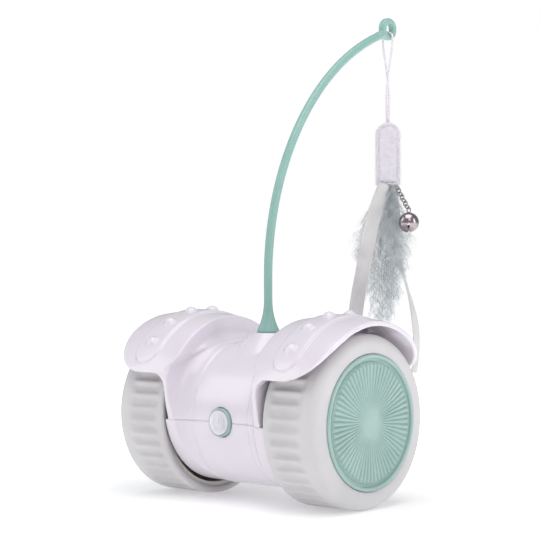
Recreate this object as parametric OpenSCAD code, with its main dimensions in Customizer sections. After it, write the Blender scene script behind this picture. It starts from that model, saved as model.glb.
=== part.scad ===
// Two-wheeled cat teaser: a waisted body between two wheels, with a bent wand and a hanging lure.
// The axle runs along X, the button faces -Y, and the origin is on the floor midway between the wheels.

/* [Wheels] */
// Outer diameter of the tyres
wheel_d = 76.4; // [73:0.4:80]
// Space between the inner faces of the two tyres
tyre_gap = 60; // [59:0.5:64]
// Width of one tyre
tyre_w = 29; // [27:0.5:30]
// Wall of the tyre under its tread
tyre_wall = 3.1; // [2.5:0.1:4]
// Rounding of the tyre's outer shoulder
shoulder_r = 4.5; // [3.5:0.1:5]
// Rounding of the tyre's inner shoulder
inner_shoulder_r = 1.6; // [1:0.1:3]
// Scooped flutes round one tyre
flutes = 40; // [24:1:44]
// Depth of a flute at its middle
flute_depth = 1; // [0.4:0.1:1.4]
// Width of a flute at its middle
flute_w = 4.4; // [3:0.1:4.8]
// Length of a flute along the tread
flute_l = 18.6; // [12:0.2:20]
// Outer diameter of the hub caps
cap_d = 59.2; // [56:0.2:62]
// Width of the plain ring round a hub cap
cap_ring_w = 1.8; // [1.2:0.1:2.4]
// Width of the groove inside that ring
cap_groove_w = 1.5; // [1:0.1:2]
// Radial ribs on one hub cap
cap_ribs = 62; // [40:1:64]
// Half width of a rib at its outer end
cap_rib_r = 1.15; // [0.8:0.05:1.15]
// Wall of the wheel rim
rim_wall = 2; // [1.5:0.1:2.5]

/* [Body] */
// Diameter of the waist
waist_d = 64; // [62:1:66]
// Straight width of the waist
waist_w = 33; // [31:0.5:35]
// Diameter of the round flanges at the waist's ends
flange_d = 75; // [73:0.5:77]
// Height of the flanges' centre above the axle
flange_lift = 6; // [5:0.2:7]
// How far the upper flanges sweep out between the parting line and the hoods' lips
flange_out = 3.25; // [2:0.05:4]
// Width of the upper shell across its flanges
upper_w = 54.8; // [54:0.2:56]
// Width of the lower shell across its flanges
lower_w = 57.6; // [57:0.2:59]
// Radius that sweeps the waist up to a flange
fillet_r = 9; // [8:0.1:9.4]
// Raised line where that sweep starts
waist_step = 0.6; // [0.3:0.1:0.8]
// Wall of the shells
wall = 2; // [1.6:0.1:2.4]
// Parting line between the shells
seam_gap = 0.1; // [0.1:0.05:0.3]
// Drop of the parting line below the axle
seam_drop = 1.2; // [0.6:0.1:1.8]
// Diameter of the platform that the wand stands on
boss_d = 13.4; // [12.6:0.2:16]
// Height of that platform above the axle
boss_rise = 37; // [35:0.5:39]
// Slope of the cone under that platform
boss_slope = 42.5; // [38:0.5:46]

/* [Hoods] */
// Diameter over the crown of a hood
hood_d = 91; // [90:0.5:94]
// Thickness of a hood
hood_t = 2.2; // [1.8:0.1:2.6]
// Distance from the middle plane to a hood's inner edge
hood_in = 23; // [22:0.5:24.5]
// Distance from the middle plane to a hood's outer edge
hood_out = 62; // [60:0.5:63]
// Radius of the crown across a hood
crown_r = 120; // [110:5:200]
// Drop from a hood's edge to the side of the body
crease = 1; // [0.4:0.1:1.2]
// Height of a hood's front and rear lips above the axle
lip_rise = 19.5; // [17:0.5:21]
// Radius of a hood's lower outer corners
corner_r = 20; // [16:0.5:22]
// Radius of the hollow corner between a lip and the flange
inner_corner_r = 6.5; // [4:0.5:8]
// Height above the axle where the slanting edge of a hood's side reaches the waist
web_rise = 39; // [36:0.5:42]
// Distance from the middle plane to the middle of the raised panel
panel_x = 41.5; // [40:0.5:43]
// Width of the raised panel
panel_w = 14; // [11:0.5:16]
// Height of the panel above the hood
panel_raise = 0.9; // [0.4:0.1:1.2]
// Height of the panel's lower ends above the axle
panel_rise = 24; // [22:0.5:26]
// Round bumps on one hood
bumps = 6; // [4:1:6]
// Diameter of a bump at its foot
bump_d = 6; // [4:0.2:6.6]
// Height of a bump above the panel
bump_h = 2; // [1:0.1:2.4]
// Angle from one bump to the next
bump_step = 18; // [16:0.5:20]

/* [Button] */
// Diameter of the power button
button_d = 10.8; // [10:0.2:11]
// Outer diameter of the button ring
ring_d = 12.6; // [12.5:0.1:14]
// Clearance round the button
button_gap = 0.2; // [0.15:0.05:0.25]
// How far the ring stands out of the waist
ring_proud = 0.7; // [0.4:0.1:1]
// How far the button stands out of the ring
button_proud = 0.5; // [0.2:0.1:0.8]
// Travel of the button
press = 0.8; // [0.4:0.1:0.8]
// Outer diameter of the power mark
mark_d = 6.8; // [5:0.2:8]
// Line width of the power mark
mark_line = 0.6; // [0.4:0.1:0.8]
// Height of the power mark
mark_h = 0.25; // [0.15:0.05:0.35]

/* [Drive] */
// Module of the gear teeth
gear_module = 0.6; // [0.55:0.01:0.62]
// Teeth of an output gear
output_teeth = 36; // [32:1:36]
// Teeth of an idler's small gear
small_teeth = 12; // [12:1:14]
// Teeth of an idler's large gear
large_teeth = 30; // [24:1:30]
// Teeth of a motor pinion
pinion_teeth = 12; // [12:1:14]
// Play between meshing teeth
backlash = 0.12; // [0.08:0.01:0.16]
// Diameter of the axles
axle_d = 4; // [3:0.1:4.4]
// Diameter of the idler pins
pin_d = 2; // [1.6:0.1:2.4]
// Diameter of the motor shafts
shaft_d = 1.5; // [1.2:0.1:1.8]
// Diameter of a motor across its round sides
motor_d = 12; // [11:0.5:12.5]
// Height of a motor across its flat sides
motor_flat = 10; // [9:0.5:10.5]
// Length of a motor
motor_l = 15; // [12:0.5:15.5]
// Outer diameter of the axle bushes
bush_d = 8; // [7:0.2:9]

/* [Power and balance] */
// Diameter of the battery cell
battery_d = 14; // [12:0.5:14.5]
// Length of the battery cell
battery_l = 36; // [30:1:38]
// Length of the counterweight along the axle
weight_w = 48; // [40:0.5:50]
// Width of the circuit board
board_w = 32; // [29:0.5:34]
// Height of the circuit board
board_h = 20; // [18:0.5:21]
// Thickness of the boards
board_t = 1.2; // [0.8:0.1:1.6]
// Width of the charging socket
socket_w = 9; // [8.4:0.1:9.4]
// Height of the charging socket
socket_h = 3.3; // [3:0.1:3.6]

/* [Wand] */
// Diameter of the wand's rod
wand_d = 3.9; // [3.4:0.1:4.4]
// Diameter of the wand's flared foot
foot_d = 10.3; // [9:0.1:12]
// Height of the flare
flare_h = 13.2; // [10:0.2:15]
// Height of the foot's plain edge
foot_edge = 0.8; // [0.5:0.1:1.2]
// Diameter of the plug under the foot
plug_d = 5.8; // [5:0.1:6.4]
// Length of the plug under the foot
plug_l = 13; // [10:0.5:14]
// Straight length of the wand above the platform
wand_straight = 24; // [18:0.5:30]
// Radius of the bend
bend_r = 123; // [110:1:130]
// Angle of the bend
bend = 70.5; // [60:0.5:78]
// Outer diameter of the eyelet
eyelet_d = 10.8; // [10.4:0.2:11.2]
// Diameter of the eyelet's hole
eyelet_hole = 5; // [4.8:0.1:5.2]
// Thickness of the eyelet
eyelet_t = 4; // [3.6:0.1:4.2]

/* [Lure] */
// Diameter of the string
cord_d = 1.1; // [0.9:0.1:1.2]
// Width of the felt tab
felt_w = 11.7; // [10:0.1:13]
// Thickness of the felt tab
felt_t = 5.5; // [4.5:0.1:6]
// Length of the felt tab
felt_l = 30; // [26:0.5:34]
// Width of the ribbons
ribbon_w = 7; // [5:0.2:8]
// Thickness of the ribbons
ribbon_t = 0.5; // [0.4:0.1:0.7]
// Greatest diameter of the feather tuft
tuft_d = 16; // [12:0.5:16.5]
// Length of the feather tuft
tuft_l = 78; // [70:1:82]
// Diameter of the bell
bell_d = 9.8; // [9:0.2:10.2]
// Wall of the bell
bell_wall = 0.5; // [0.4:0.05:0.7]
// Width of the bell's slots
bell_slot = 0.9; // [0.6:0.1:1.2]
// Diameter of the pellet in the bell
pellet_d = 3; // [2:0.1:4]

/* [Hidden] */
$fn = 96;

right = 1;
left = -1;
far = 200;

// Clearances: running fits, parts that are pressed or screwed together, and parts that only lie near
run_fit = 0.05;
still_fit = 0.02;
lay_fit = 0.2;

// Axle height and the radii that follow from the driving diameters
axle_z = wheel_d / 2;
wheel_r = wheel_d / 2;
waist_r = waist_d / 2;
flange_r = flange_d / 2;
hood_r = hood_d / 2;
upper_half = upper_w / 2;
lower_half = lower_w / 2;
cavity_r = waist_r - wall;
fillet_c = waist_r + waist_step + fillet_r;
seam_z = axle_z - seam_drop;

// Places along the axle: the drive counted inwards from the shell's side, then the wheel
side_play = 0.4;
bush_flange = 1;
bush_x = upper_half - wall - lay_fit;
output_w = 2.4;
output_x = bush_x - bush_flange - side_play - output_w;
gear_w = 2.2;
small_w = 3;
large_x = output_x - side_play - gear_w;
plate_t = 1.5;
plate_x = large_x - side_play - plate_t;
motor_x = plate_x - motor_l;
axle_x = plate_x - 1;
tyre_in = tyre_gap / 2;
tyre_out = tyre_in + tyre_w;
rim_in = tyre_in + 1;
lip_t = 4;
rim_out = tyre_out - lip_t;
rim_r = wheel_r - tyre_wall;
hub_r = 6;
axle_end = rim_out - lay_fit;
axle_bore_l = 9;
axle_screw_l = 8;

// Gear centres in the plane across the axle: the idler above the axle, the motor behind and below the idler
pressure = 25;
output_r = gear_module * output_teeth / 2;
small_r = gear_module * small_teeth / 2;
large_r = gear_module * large_teeth / 2;
pinion_r = gear_module * pinion_teeth / 2;
idler_dir = 90;
motor_dir = -30;
idler_at = (output_r + small_r) * [cos(idler_dir), sin(idler_dir)];
motor_at = idler_at + (large_r + pinion_r) * [cos(motor_dir), sin(motor_dir)];

// Screw columns, the same for both shells
column_x = 22;
column_y = 20;
column_r = 2.6;
screw_d = 2;
screw_head_d = 4.6;
screw_head_h = 1.6;
post_r = screw_head_d / 2 + wall / 2;
screw_seat = -14;
screw_top = 8;
peg_d = 2.4;
peg_l = 4;
front_row = [-column_y];
rear_row = [column_y];

// Depths behind the waist's front, counted outwards
ring_back = -5;
ring_flange_t = 1.6;
ring_flange_w = 1.5;
catch_t = 1.2;
stem_d = 4;
stem_l = 1.6;
button_back = ring_back - lay_fit;
stem_end = button_back - catch_t - stem_l;
plunger_d = 3.4;
plunger_l = 1.6;
switch_front = stem_end - press - lay_fit;
switch_t = 3.5;
switch_w = 6;
board_front = switch_front - switch_t;
board_mid = 6;
board_hole_x = 12;
board_hole_rise = 13;
board_screw_d = 1.8;
board_screw_bite = 3;
board_boss_r = 2.5;

// Battery and charging board in the lower shell, and the counterweight's edges
battery_room = 1.8;
battery_dir = -55.6;
battery_at = (cavity_r - battery_room - battery_d / 2) * [cos(battery_dir), sin(battery_dir)];
cradle_x = 14;
cradle_t = 2;
charge_rise = battery_at[1] + battery_d / 2 + lay_fit;
charge_len = 12;
charge_w = 16;
charge_back = sqrt(pow(cavity_r, 2) - pow(charge_rise, 2)) - lay_fit;
charge_post = charge_back - charge_len / 3;
socket_rise = charge_rise + board_t + socket_h / 2;
socket_mouth = sqrt(pow(waist_r, 2) - pow(socket_rise, 2));
socket_l = 7.3;
socket_wall = 0.35;
weight_r = 13.5;
weight_gap = 1;
weight_back = battery_at[0] - battery_d / 2 - weight_gap;
weight_top = -13.9;

// Wand: end of the bend, and the eyelet that sits a little above the rod's line
platform_z = axle_z + boss_rise;
bend_z = platform_z + wand_straight;
bend_end = [bend_r * (1 - cos(bend)), bend_z + bend_r * sin(bend)];
eyelet_reach = 7.2;
neck_lap = 1.5;
neck_grow = 0.2;
eyelet_lift = 1.2;
eyelet_y = bend_end[0] + eyelet_reach * sin(bend) - eyelet_lift * cos(bend);
eyelet_z = bend_end[1] + eyelet_reach * cos(bend) + eyelet_lift * sin(bend);
eyelet_r = (eyelet_d - eyelet_hole) / 4;
eyelet_mid = (eyelet_d + eyelet_hole) / 4;

// String: it leaves the felt, crosses itself, passes through the eyelet and comes back
cord_sides = 8;
cord_low = -45.2;
cord_points = [[-0.7, 0, cord_low], [-0.7, 0, -43], [-0.6, -0.3, -38], [-0.3, -0.6, -33], [0.1, -0.7, -29],
    [0.6, -0.6, -24], [1.3, -0.3, -18], [2.2, 0, -12], [2.8, 0, -8], [2.9, 0, -4], [2.2, 0, -2.3],
    [0.6, 0, -1.6], [-0.6, 0, -1.6], [-2.2, 0, -2.3], [-2.9, 0, -4], [-2.8, 0, -8], [-2.2, 0, -12],
    [-1.3, 0.3, -18], [-0.6, 0.6, -24], [-0.1, 0.7, -29], [0.3, 0.6, -33], [0.6, 0.3, -38],
    [0.7, 0, -43], [0.7, 0, cord_low]];

// Lure: turned about the string, with its own zero at the foot of the felt
lure_turn = 36;
felt_top = cord_low - 0.4;
felt_foot = felt_top - felt_l;
// Ribbon routes from the felt's foot: sideways, back, up, and the turn of the ribbon about the upright
front_route = [[-1, -4, 0.3, 0], [-2, -5, -8, 0], [-4, -7, -18, -5], [-6.5, -8, -30, -10],
    [-9, -8, -42, -14], [-11, -7, -54, -12], [-12.5, -5.5, -66, -6], [-13, -4.5, -78, 2], [-12.5, -4.5, -88, 8]];
rear_route = [[1, 4, 0.3, 0], [1.5, 6, -8, 5], [2.5, 9, -20, 15], [4.5, 10.5, -34, 30],
    [8, 11, -48, 56], [11.5, 9.5, -60, 74], [13.5, 7.5, -72, 82], [14, 6, -84, 84], [13.5, 5.5, -93, 82]];

// Bell: place of its centre from the felt's foot, and the chain that holds it
bell_at = [10.2, -8.5, -18.4];
bell_r = bell_d / 2;
slot_eye = 2 * bell_slot;
slot_drop = 0.2 * bell_r;
bell_turn = [30, 0, 45];
loop_r = 1.3;
link_wire = 0.3;
bell_loop = bell_at + [0, 0, bell_r + loop_r - link_wire / 2];
chain_from = [4.5, -2.2, -loop_r - lay_fit];
chain_way = bell_loop - chain_from;
chain_links = ceil(norm(chain_way) / (2 * loop_r - 2 * link_wire - link_wire / 10));

// Colours as the toy shows them
white_plastic = [0.90, 0.88, 0.91];
pale_tyre = [0.82, 0.81, 0.82];
mint = [0.62, 0.74, 0.71];
wand_mint = [0.55, 0.73, 0.69];
steel = [0.65, 0.66, 0.68];
brass = [0.75, 0.62, 0.35];
nylon = [0.93, 0.91, 0.84];
board_green = [0.20, 0.42, 0.28];
dark = [0.18, 0.18, 0.20];
cell_blue = [0.35, 0.48, 0.66];
felt_white = [0.79, 0.78, 0.81];
satin = [0.83, 0.83, 0.83];
feather_grey = [0.60, 0.62, 0.64];
bell_grey = [0.56, 0.52, 0.55];

// Frames

// Plane across the axle: first value to the rear, second value up, third value along the axle
module axle_frame() { translate([0, 0, axle_z]) rotate([90, 0, 90]) children(); }
// Mirror image for the left side
module on_side(side) { mirror([side < 0 ? 1 : 0, 0, 0]) children(); }
// Button axis, with its third value outwards through the front of the waist
module button_frame() { translate([0, -waist_r, seam_z]) rotate([90, 0, 0]) children(); }
// Lure, turned, with its zero at the foot of the felt
module lure_frame() { translate([0, eyelet_y, eyelet_z + felt_foot]) rotate([0, 0, lure_turn]) children(); }
// Round bar along the axle direction between two distances from the middle plane
module bar(x0, x1, d) { translate([0, 0, x0]) cylinder(d = d, h = x1 - x0); }
// Round tube along the axle direction
module tube(x0, x1, d, bore) {
    difference() {
        bar(x0, x1, d);
        bar(x0 - 1, x1 + 1, bore);
    }
}

// Body shells

// Section of the barrel: straight waist, swept up to a flange at each end
module barrel_section(r_waist, r_flange, half, sweep) {
    difference() {
        translate([0, -half]) square([r_flange, 2 * half]);
        translate([r_waist, -waist_w / 2]) square([r_flange, waist_w]);
        for (s = [-1, 1]) translate([fillet_c, s * waist_w / 2]) circle(sweep);
        translate([fillet_c, -waist_w / 2 - sweep]) square([r_flange, waist_w + 2 * sweep]);
    }
}
// Outline of the lower flanges seen along the axle
module round_flange(inset) { translate([0, flange_lift]) circle(flange_r - inset); }
// Outline of the upper flanges, which sweep out from the parting line to the hoods' lips
module swept_flange(inset) {
    intersection_for (s = [-1, 1]) translate([s * (lip_y - flange_sweep), lip_rise]) circle(flange_sweep - inset);
}
// Waist and flanges: the waist stays round, the flanges are cut to an outline seen along the axle
module waisted(r_waist, r_flange, half, sweep) {
    lap = waist_w / 2 + waist_step;
    axle_frame() {
        bar(-lap, lap, 2 * r_waist);
        intersection() {
            rotate_extrude() barrel_section(r_waist - waist_step, r_flange, half, sweep);
            translate([0, 0, -half]) linear_extrude(2 * half) children();
        }
    }
}
module upper_barrel() { waisted(waist_r, crown(hood_in), upper_half, fillet_r) swept_flange(0); }
module lower_barrel() { waisted(waist_r, fillet_c, lower_half, fillet_r) round_flange(0); }
module upper_cavity() {
    waisted(cavity_r, fillet_c, upper_half - wall, fillet_r + wall) swept_flange(wall);
}
module lower_cavity() {
    waisted(cavity_r, fillet_c, lower_half - wall, fillet_r + wall) round_flange(wall);
}
module above_seam() { translate([-far, -far, seam_z + seam_gap / 2]) cube([2 * far, 2 * far, far]); }
module below_seam() { translate([-far, -far, seam_z - seam_gap / 2 - far]) cube([2 * far, 2 * far, far]); }

// Height of the crown over a hood at a distance from the middle plane
hood_mid = (hood_in + hood_out) / 2;
function crown(x) = hood_r - crown_r + sqrt(pow(crown_r, 2) - pow(x - hood_mid, 2));
hood_edge_r = crown(hood_in) - crease;
web_r = hood_in - waist_w / 2;
lip_z = axle_z + lip_rise;
// Reach of a flange at the lip and at the parting line, and the radius that joins the two
seam_y = sqrt(pow(flange_r, 2) - pow(flange_lift + seam_drop, 2));
lip_y = seam_y + flange_out;
flange_sweep = (pow(lip_rise + seam_drop, 2) + pow(flange_out, 2)) / (2 * flange_out);
corner_gap = 2;

// Slice of the crowned hood between two distances from the middle plane
module crown_slice(x0, x1, raise, sink) {
    intersection() {
        difference() {
            translate([hood_r - crown_r, hood_mid]) circle(crown_r + raise, $fn = 720);
            translate([hood_r - crown_r, hood_mid]) circle(crown_r - sink, $fn = 720);
        }
        translate([0, x0]) square([far, x1 - x0]);
    }
}
// Side of the hood, swept down to the waist
module web_section() {
    difference() {
        translate([waist_r - wall / 2, waist_w / 2])
            square([hood_edge_r - waist_r + wall / 2, upper_half - waist_w / 2]);
        translate([waist_r + waist_step + web_r, waist_w / 2]) circle(web_r);
        translate([waist_r + waist_step + web_r, 0]) square([far, hood_in]);
    }
}
// Outline of a hood seen from the front
module hood_outline() {
    top = hood_d + axle_z;
    difference() {
        translate([upper_half, lip_z]) square([hood_out - upper_half, top - lip_z]);
        difference() {
            translate([hood_out - corner_r, lip_z]) square(corner_r);
            translate([hood_out - corner_r, lip_z + corner_r]) circle(corner_r);
        }
    }
    polygon([[upper_half, lip_z], [upper_half, top], [waist_w / 2, top], [waist_w / 2, axle_z + web_rise]]);
}
// Outline of the hollow corner under a lip
module corner_outline() {
    difference() {
        translate([upper_half - wall / 2, lip_z - inner_corner_r])
            square([inner_corner_r + wall / 2, inner_corner_r + lay_fit]);
        translate([upper_half + inner_corner_r, lip_z - inner_corner_r]) circle(inner_corner_r);
    }
}
// Outline of the raised panel seen from the front
module panel_outline() {
    low = axle_z + panel_rise + panel_w / 2;
    translate([panel_x, low]) circle(panel_w / 2);
    translate([panel_x - panel_w / 2, low]) square([panel_w, hood_d]);
}
// A front outline carried through the body
module through() { translate([0, hood_d, 0]) rotate([90, 0, 0]) linear_extrude(2 * hood_d) children(); }

module hood() {
    intersection() {
        axle_frame() rotate_extrude() {
            crown_slice(hood_in, hood_out, 0, hood_t);
            web_section();
        }
        through() hood_outline();
    }
    intersection() {
        through() corner_outline();
        axle_frame() difference() {
            linear_extrude(hood_out) swept_flange(0);
            bar(-1, far, 2 * (wheel_r + corner_gap));
        }
    }
    intersection() {
        axle_frame() rotate_extrude() crown_slice(panel_x - panel_w, panel_x + panel_w, panel_raise, hood_t / 2);
        through() panel_outline();
    }
    bump_r = (pow(bump_d / 2, 2) + pow(bump_h, 2)) / (2 * bump_h);
    bump_c = crown(panel_x) + panel_raise + bump_h - bump_r;
    for (i = [0 : bumps - 1]) {
        axle_frame() rotate([0, 0, 90 + (i - (bumps - 1) / 2) * bump_step])
            translate([bump_c, 0, panel_x]) sphere(bump_r);
    }
}
// Cone that carries the wand, lowered to hollow it out
module boss(lower) {
    boss_h = waist_r / 2;
    translate([0, 0, platform_z - boss_h - lower])
        cylinder(d1 = boss_d + 2 * boss_h / tan(boss_slope), d2 = boss_d, h = boss_h);
}
// Holes that both shells share: bushes and button
module shared_holes() {
    axle_frame() bar(-far, far, bush_d + 2 * still_fit);
    button_frame() translate([0, 0, -ring_d]) cylinder(d = ring_d + 2 * lay_fit, h = 2 * ring_d);
}
// Screws hold the rear columns together, pegs locate the front ones
module at_columns(rows) {
    for (x = [-column_x, column_x], y = rows) translate([x, y, seam_z]) children();
}

module upper_shell() {
    color(white_plastic) difference() {
        union() {
            difference() {
                union() {
                    intersection() {
                        upper_barrel();
                        above_seam();
                    }
                    for (side = [right, left]) on_side(side) hood();
                    boss(0);
                }
                upper_cavity();
                boss(wall / cos(boss_slope));
            }
            translate([0, 0, platform_z - plug_l - wall]) cylinder(d = plug_d + 2 * wall, h = plug_l);
            at_columns(front_row) translate([0, 0, -peg_l]) cylinder(d = peg_d, h = 2 * peg_l);
            intersection() {
                upper_barrel();
                union() {
                    at_columns(concat(front_row, rear_row))
                        translate([0, 0, seam_gap / 2]) cylinder(r = column_r, h = waist_r);
                    for (x = [-board_hole_x, board_hole_x]) button_frame()
                        translate([x, board_hole_rise, board_front]) cylinder(r = board_boss_r, h = -board_front);
                }
            }
        }
        shared_holes();
        at_columns(rear_row) translate([0, 0, -1]) cylinder(d = screw_d + 2 * still_fit, h = screw_top + 2);
        translate([0, 0, platform_z - plug_l - lay_fit]) cylinder(d = plug_d + 2 * run_fit, h = plug_l + far);
        for (x = [-board_hole_x, board_hole_x]) button_frame() translate([x, board_hole_rise, board_front - 1])
            cylinder(d = board_screw_d + 2 * still_fit, h = board_screw_bite + 2);
    }
}

module lower_shell() {
    color(white_plastic) difference() {
        union() {
            difference() {
                intersection() {
                    lower_barrel();
                    below_seam();
                }
                lower_cavity();
            }
            intersection() {
                lower_barrel();
                union() {
                    at_columns(concat(front_row, rear_row)) translate([0, 0, -seam_gap / 2 - waist_r])
                        cylinder(r = post_r, h = waist_r);
                    axle_frame() for (s = [-1, 1]) difference() {
                        translate([battery_at[0] - battery_d / 2, -flange_r, s * cradle_x - cradle_t / 2])
                            cube([battery_d, flange_r + battery_at[1] - wall, cradle_t]);
                        translate([battery_at[0], battery_at[1], 0])
                            bar(-far, far, battery_d + 2 * lay_fit);
                    }
                    for (x = [-charge_w / 3, charge_w / 3])
                        translate([x, charge_post, axle_z - flange_r])
                            cylinder(r = wall, h = flange_r + charge_rise);
                }
            }
        }
        shared_holes();
        at_columns(rear_row) {
            translate([0, 0, -far]) cylinder(d = screw_head_d + 2 * lay_fit, h = far + screw_seat);
            translate([0, 0, -far]) cylinder(d = screw_d + 2 * lay_fit, h = 2 * far);
        }
        at_columns(front_row) translate([0, 0, -peg_l - lay_fit]) cylinder(d = peg_d + 2 * lay_fit, h = far);
        translate([0, charge_back - wall, axle_z + socket_rise]) rotate([-90, 0, 0])
            linear_extrude(far) socket_outline(lay_fit);
    }
}

// Two screws that hold the shells together, driven from below
module body_screws() {
    color(steel) at_columns(rear_row) difference() {
        union() {
            translate([0, 0, screw_seat - screw_head_h]) cylinder(d = screw_head_d, h = screw_head_h);
            translate([0, 0, screw_seat]) cylinder(d = screw_d, h = screw_top - screw_seat);
        }
        slot_depth = screw_head_h / 2;
        for (a = [0, 90]) rotate([0, 0, a]) translate([-screw_d / 2, -screw_d / 8, screw_seat - screw_head_h - 1])
            cube([screw_d, screw_d / 4, 1 + slot_depth]);
    }
}

// Button and board

module button_ring() {
    bore = button_d + 2 * button_gap;
    color(mint) button_frame() difference() {
        union() {
            translate([0, 0, ring_back]) cylinder(d = ring_d, h = ring_proud - ring_back);
            translate([0, 0, ring_back]) cylinder(d = ring_d + 2 * ring_flange_w, h = ring_flange_t);
        }
        translate([0, 0, ring_back - 1]) cylinder(d = bore, h = ring_proud - ring_back + 2);
    }
}

module power_button() {
    face = ring_proud + button_proud;
    gap_w = 2.5 * mark_line;
    color(white_plastic) button_frame() {
        translate([0, 0, button_back]) cylinder(d = button_d, h = face - button_back);
        translate([0, 0, button_back - catch_t]) cylinder(d = ring_d + ring_flange_w, h = catch_t);
        translate([0, 0, stem_end]) cylinder(d = stem_d, h = stem_l);
        translate([0, 0, face]) linear_extrude(mark_h) {
            difference() {
                circle(d = mark_d);
                circle(d = mark_d - 2 * mark_line);
                translate([-gap_w / 2, 0]) square([gap_w, mark_d]);
            }
            translate([-mark_line / 2, 0]) square([mark_line, mark_d / 2 + mark_line / 2]);
        }
    }
}

module push_switch() {
    color(dark) button_frame() difference() {
        translate([-switch_w / 2, -switch_w / 2, board_front]) cube([switch_w, switch_w, switch_t]);
        translate([0, 0, switch_front - plunger_l - press]) cylinder(d = plunger_d + 2 * lay_fit, h = far);
    }
}

module switch_plunger() {
    color(nylon) button_frame() translate([0, 0, stem_end - plunger_l]) cylinder(d = plunger_d, h = plunger_l);
}

module circuit_board() {
    color(board_green) button_frame() difference() {
        translate([-board_w / 2, board_mid - board_h / 2, board_front - board_t]) cube([board_w, board_h, board_t]);
        for (x = [-board_hole_x, board_hole_x]) translate([x, board_hole_rise, board_front - board_t - 1])
            cylinder(d = board_screw_d + 2 * lay_fit, h = board_t + 2);
    }
}

module board_screws() {
    head_d = 2 * board_screw_d;
    color(steel) button_frame() for (x = [-board_hole_x, board_hole_x]) translate([x, board_hole_rise, 0]) {
        translate([0, 0, board_front - board_t - board_screw_d / 2]) cylinder(d = head_d, h = board_screw_d / 2);
        translate([0, 0, board_front - board_t]) cylinder(d = board_screw_d, h = board_t + board_screw_bite);
    }
}

// Power and balance

module battery() {
    nub = battery_d / 3;
    color(cell_blue) axle_frame() translate([battery_at[0], battery_at[1], 0]) {
        bar(-battery_l / 2, battery_l / 2, battery_d);
        bar(battery_l / 2, battery_l / 2 + 1, nub);
    }
}

module charging_board() {
    color(board_green) translate([-charge_w / 2, charge_back - charge_len, axle_z + charge_rise])
        cube([charge_w, charge_len, board_t]);
}

// Flat-sided oval of the charging socket, grown by a margin
module socket_outline(margin) {
    r = socket_h / 2;
    for (s = [-1, 1]) translate([s * (socket_w / 2 - r), 0]) circle(r + margin);
    translate([r - socket_w / 2, -r - margin]) square([socket_w - 2 * r, 2 * (r + margin)]);
}

module charging_socket() {
    tongue_t = 0.7;
    color(steel) translate([0, socket_mouth - socket_l, axle_z + socket_rise]) {
        rotate([-90, 0, 0]) difference() {
            linear_extrude(socket_l) socket_outline(0);
            translate([0, 0, 1]) linear_extrude(socket_l) socket_outline(-socket_wall);
        }
        translate([socket_h / 2 - socket_w / 2, 0, -tongue_t / 2])
            cube([socket_w - socket_h, socket_l - 1, tongue_t]);
    }
}

// Steel block low in the body, which balances the wand, the lure and the motors and clears the front columns
module counterweight() {
    post_gap = post_r + lay_fit;
    color(steel) axle_frame() difference() {
        intersection() {
            tube(-weight_w / 2, weight_w / 2, 2 * (cavity_r - lay_fit), 2 * weight_r);
            translate([weight_back - far, weight_top - far, -far]) cube([far, far, 2 * far]);
            translate([0, 0, -far]) linear_extrude(2 * far) round_flange(wall + lay_fit);
        }
        for (side = [0, 1]) mirror([0, 0, side]) translate([post_gap - column_y - far, -far, column_x - post_gap])
            cube([far, 2 * far, far]);
    }
}

// Drive

// Point on an involute at a roll angle: distance from the centre and angle turned
function flank(base, roll) = [base * sqrt(1 + pow(roll * PI / 180, 2)), roll - atan(roll * PI / 180)];
// Roll angle at which the involute reaches a radius
function roll_at(base, r) = sqrt(pow(r / base, 2) - 1) * 180 / PI;
function polar(r, a) = [r * cos(a), r * sin(a)];
function gear_outline(teeth) = let (
    pitch = gear_module * teeth / 2,
    base = pitch * cos(pressure),
    tip = pitch + 0.95 * gear_module,
    root = pitch - 1.25 * gear_module,
    half = 90 / teeth + flank(base, roll_at(base, pitch))[1] - backlash / pitch * 90 / PI,
    steps = 4,
    rolls = [for (i = [0 : steps]) roll_at(base, tip) * i / steps]
) [for (t = [0 : teeth - 1]) let (mid = 360 * t / teeth) each concat(
    [polar(root, mid - half)],
    [for (roll = rolls) let (f = flank(base, roll)) polar(f[0], mid - half + f[1])],
    [for (i = [steps : -1 : 0]) let (f = flank(base, rolls[i])) polar(f[0], mid + half - f[1])],
    [polar(root, mid + half)]
)];
// Turn that lets a gear's teeth fall between those of a gear turned by driver_turn, seen in direction dir
function mesh_turn(dir, driver_teeth, teeth, driver_turn) =
    dir + 180 - 180 / teeth + (dir - driver_turn) * driver_teeth / teeth;
idler_turn = mesh_turn(idler_dir, output_teeth, small_teeth, 0);
pinion_turn = mesh_turn(motor_dir, large_teeth, pinion_teeth, idler_turn);

module gear(teeth, x0, w) { translate([0, 0, x0]) linear_extrude(w) polygon(gear_outline(teeth)); }
module at(place) { translate([place[0], place[1], 0]) children(); }

module motor(side) {
    color(steel) on_side(side) axle_frame() at(motor_at) difference() {
        union() {
            intersection() {
                bar(motor_x, plate_x, motor_d);
                translate([-motor_d, -motor_flat / 2, 0]) cube([2 * motor_d, motor_flat, far]);
            }
            bar(plate_x, plate_x + plate_t, 2.5 * shaft_d);
        }
        bar(plate_x - motor_l / 2, far, shaft_d + 2 * run_fit);
    }
}

module motor_shaft(side) {
    color(steel) on_side(side) axle_frame() at(motor_at)
        bar(plate_x - motor_l / 3, large_x + gear_w + lay_fit, shaft_d);
}

module motor_pinion(side) {
    color(brass) on_side(side) axle_frame() at(motor_at) rotate([0, 0, pinion_turn]) difference() {
        gear(pinion_teeth, large_x, gear_w);
        bar(0, far, shaft_d + 2 * still_fit);
    }
}

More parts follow.
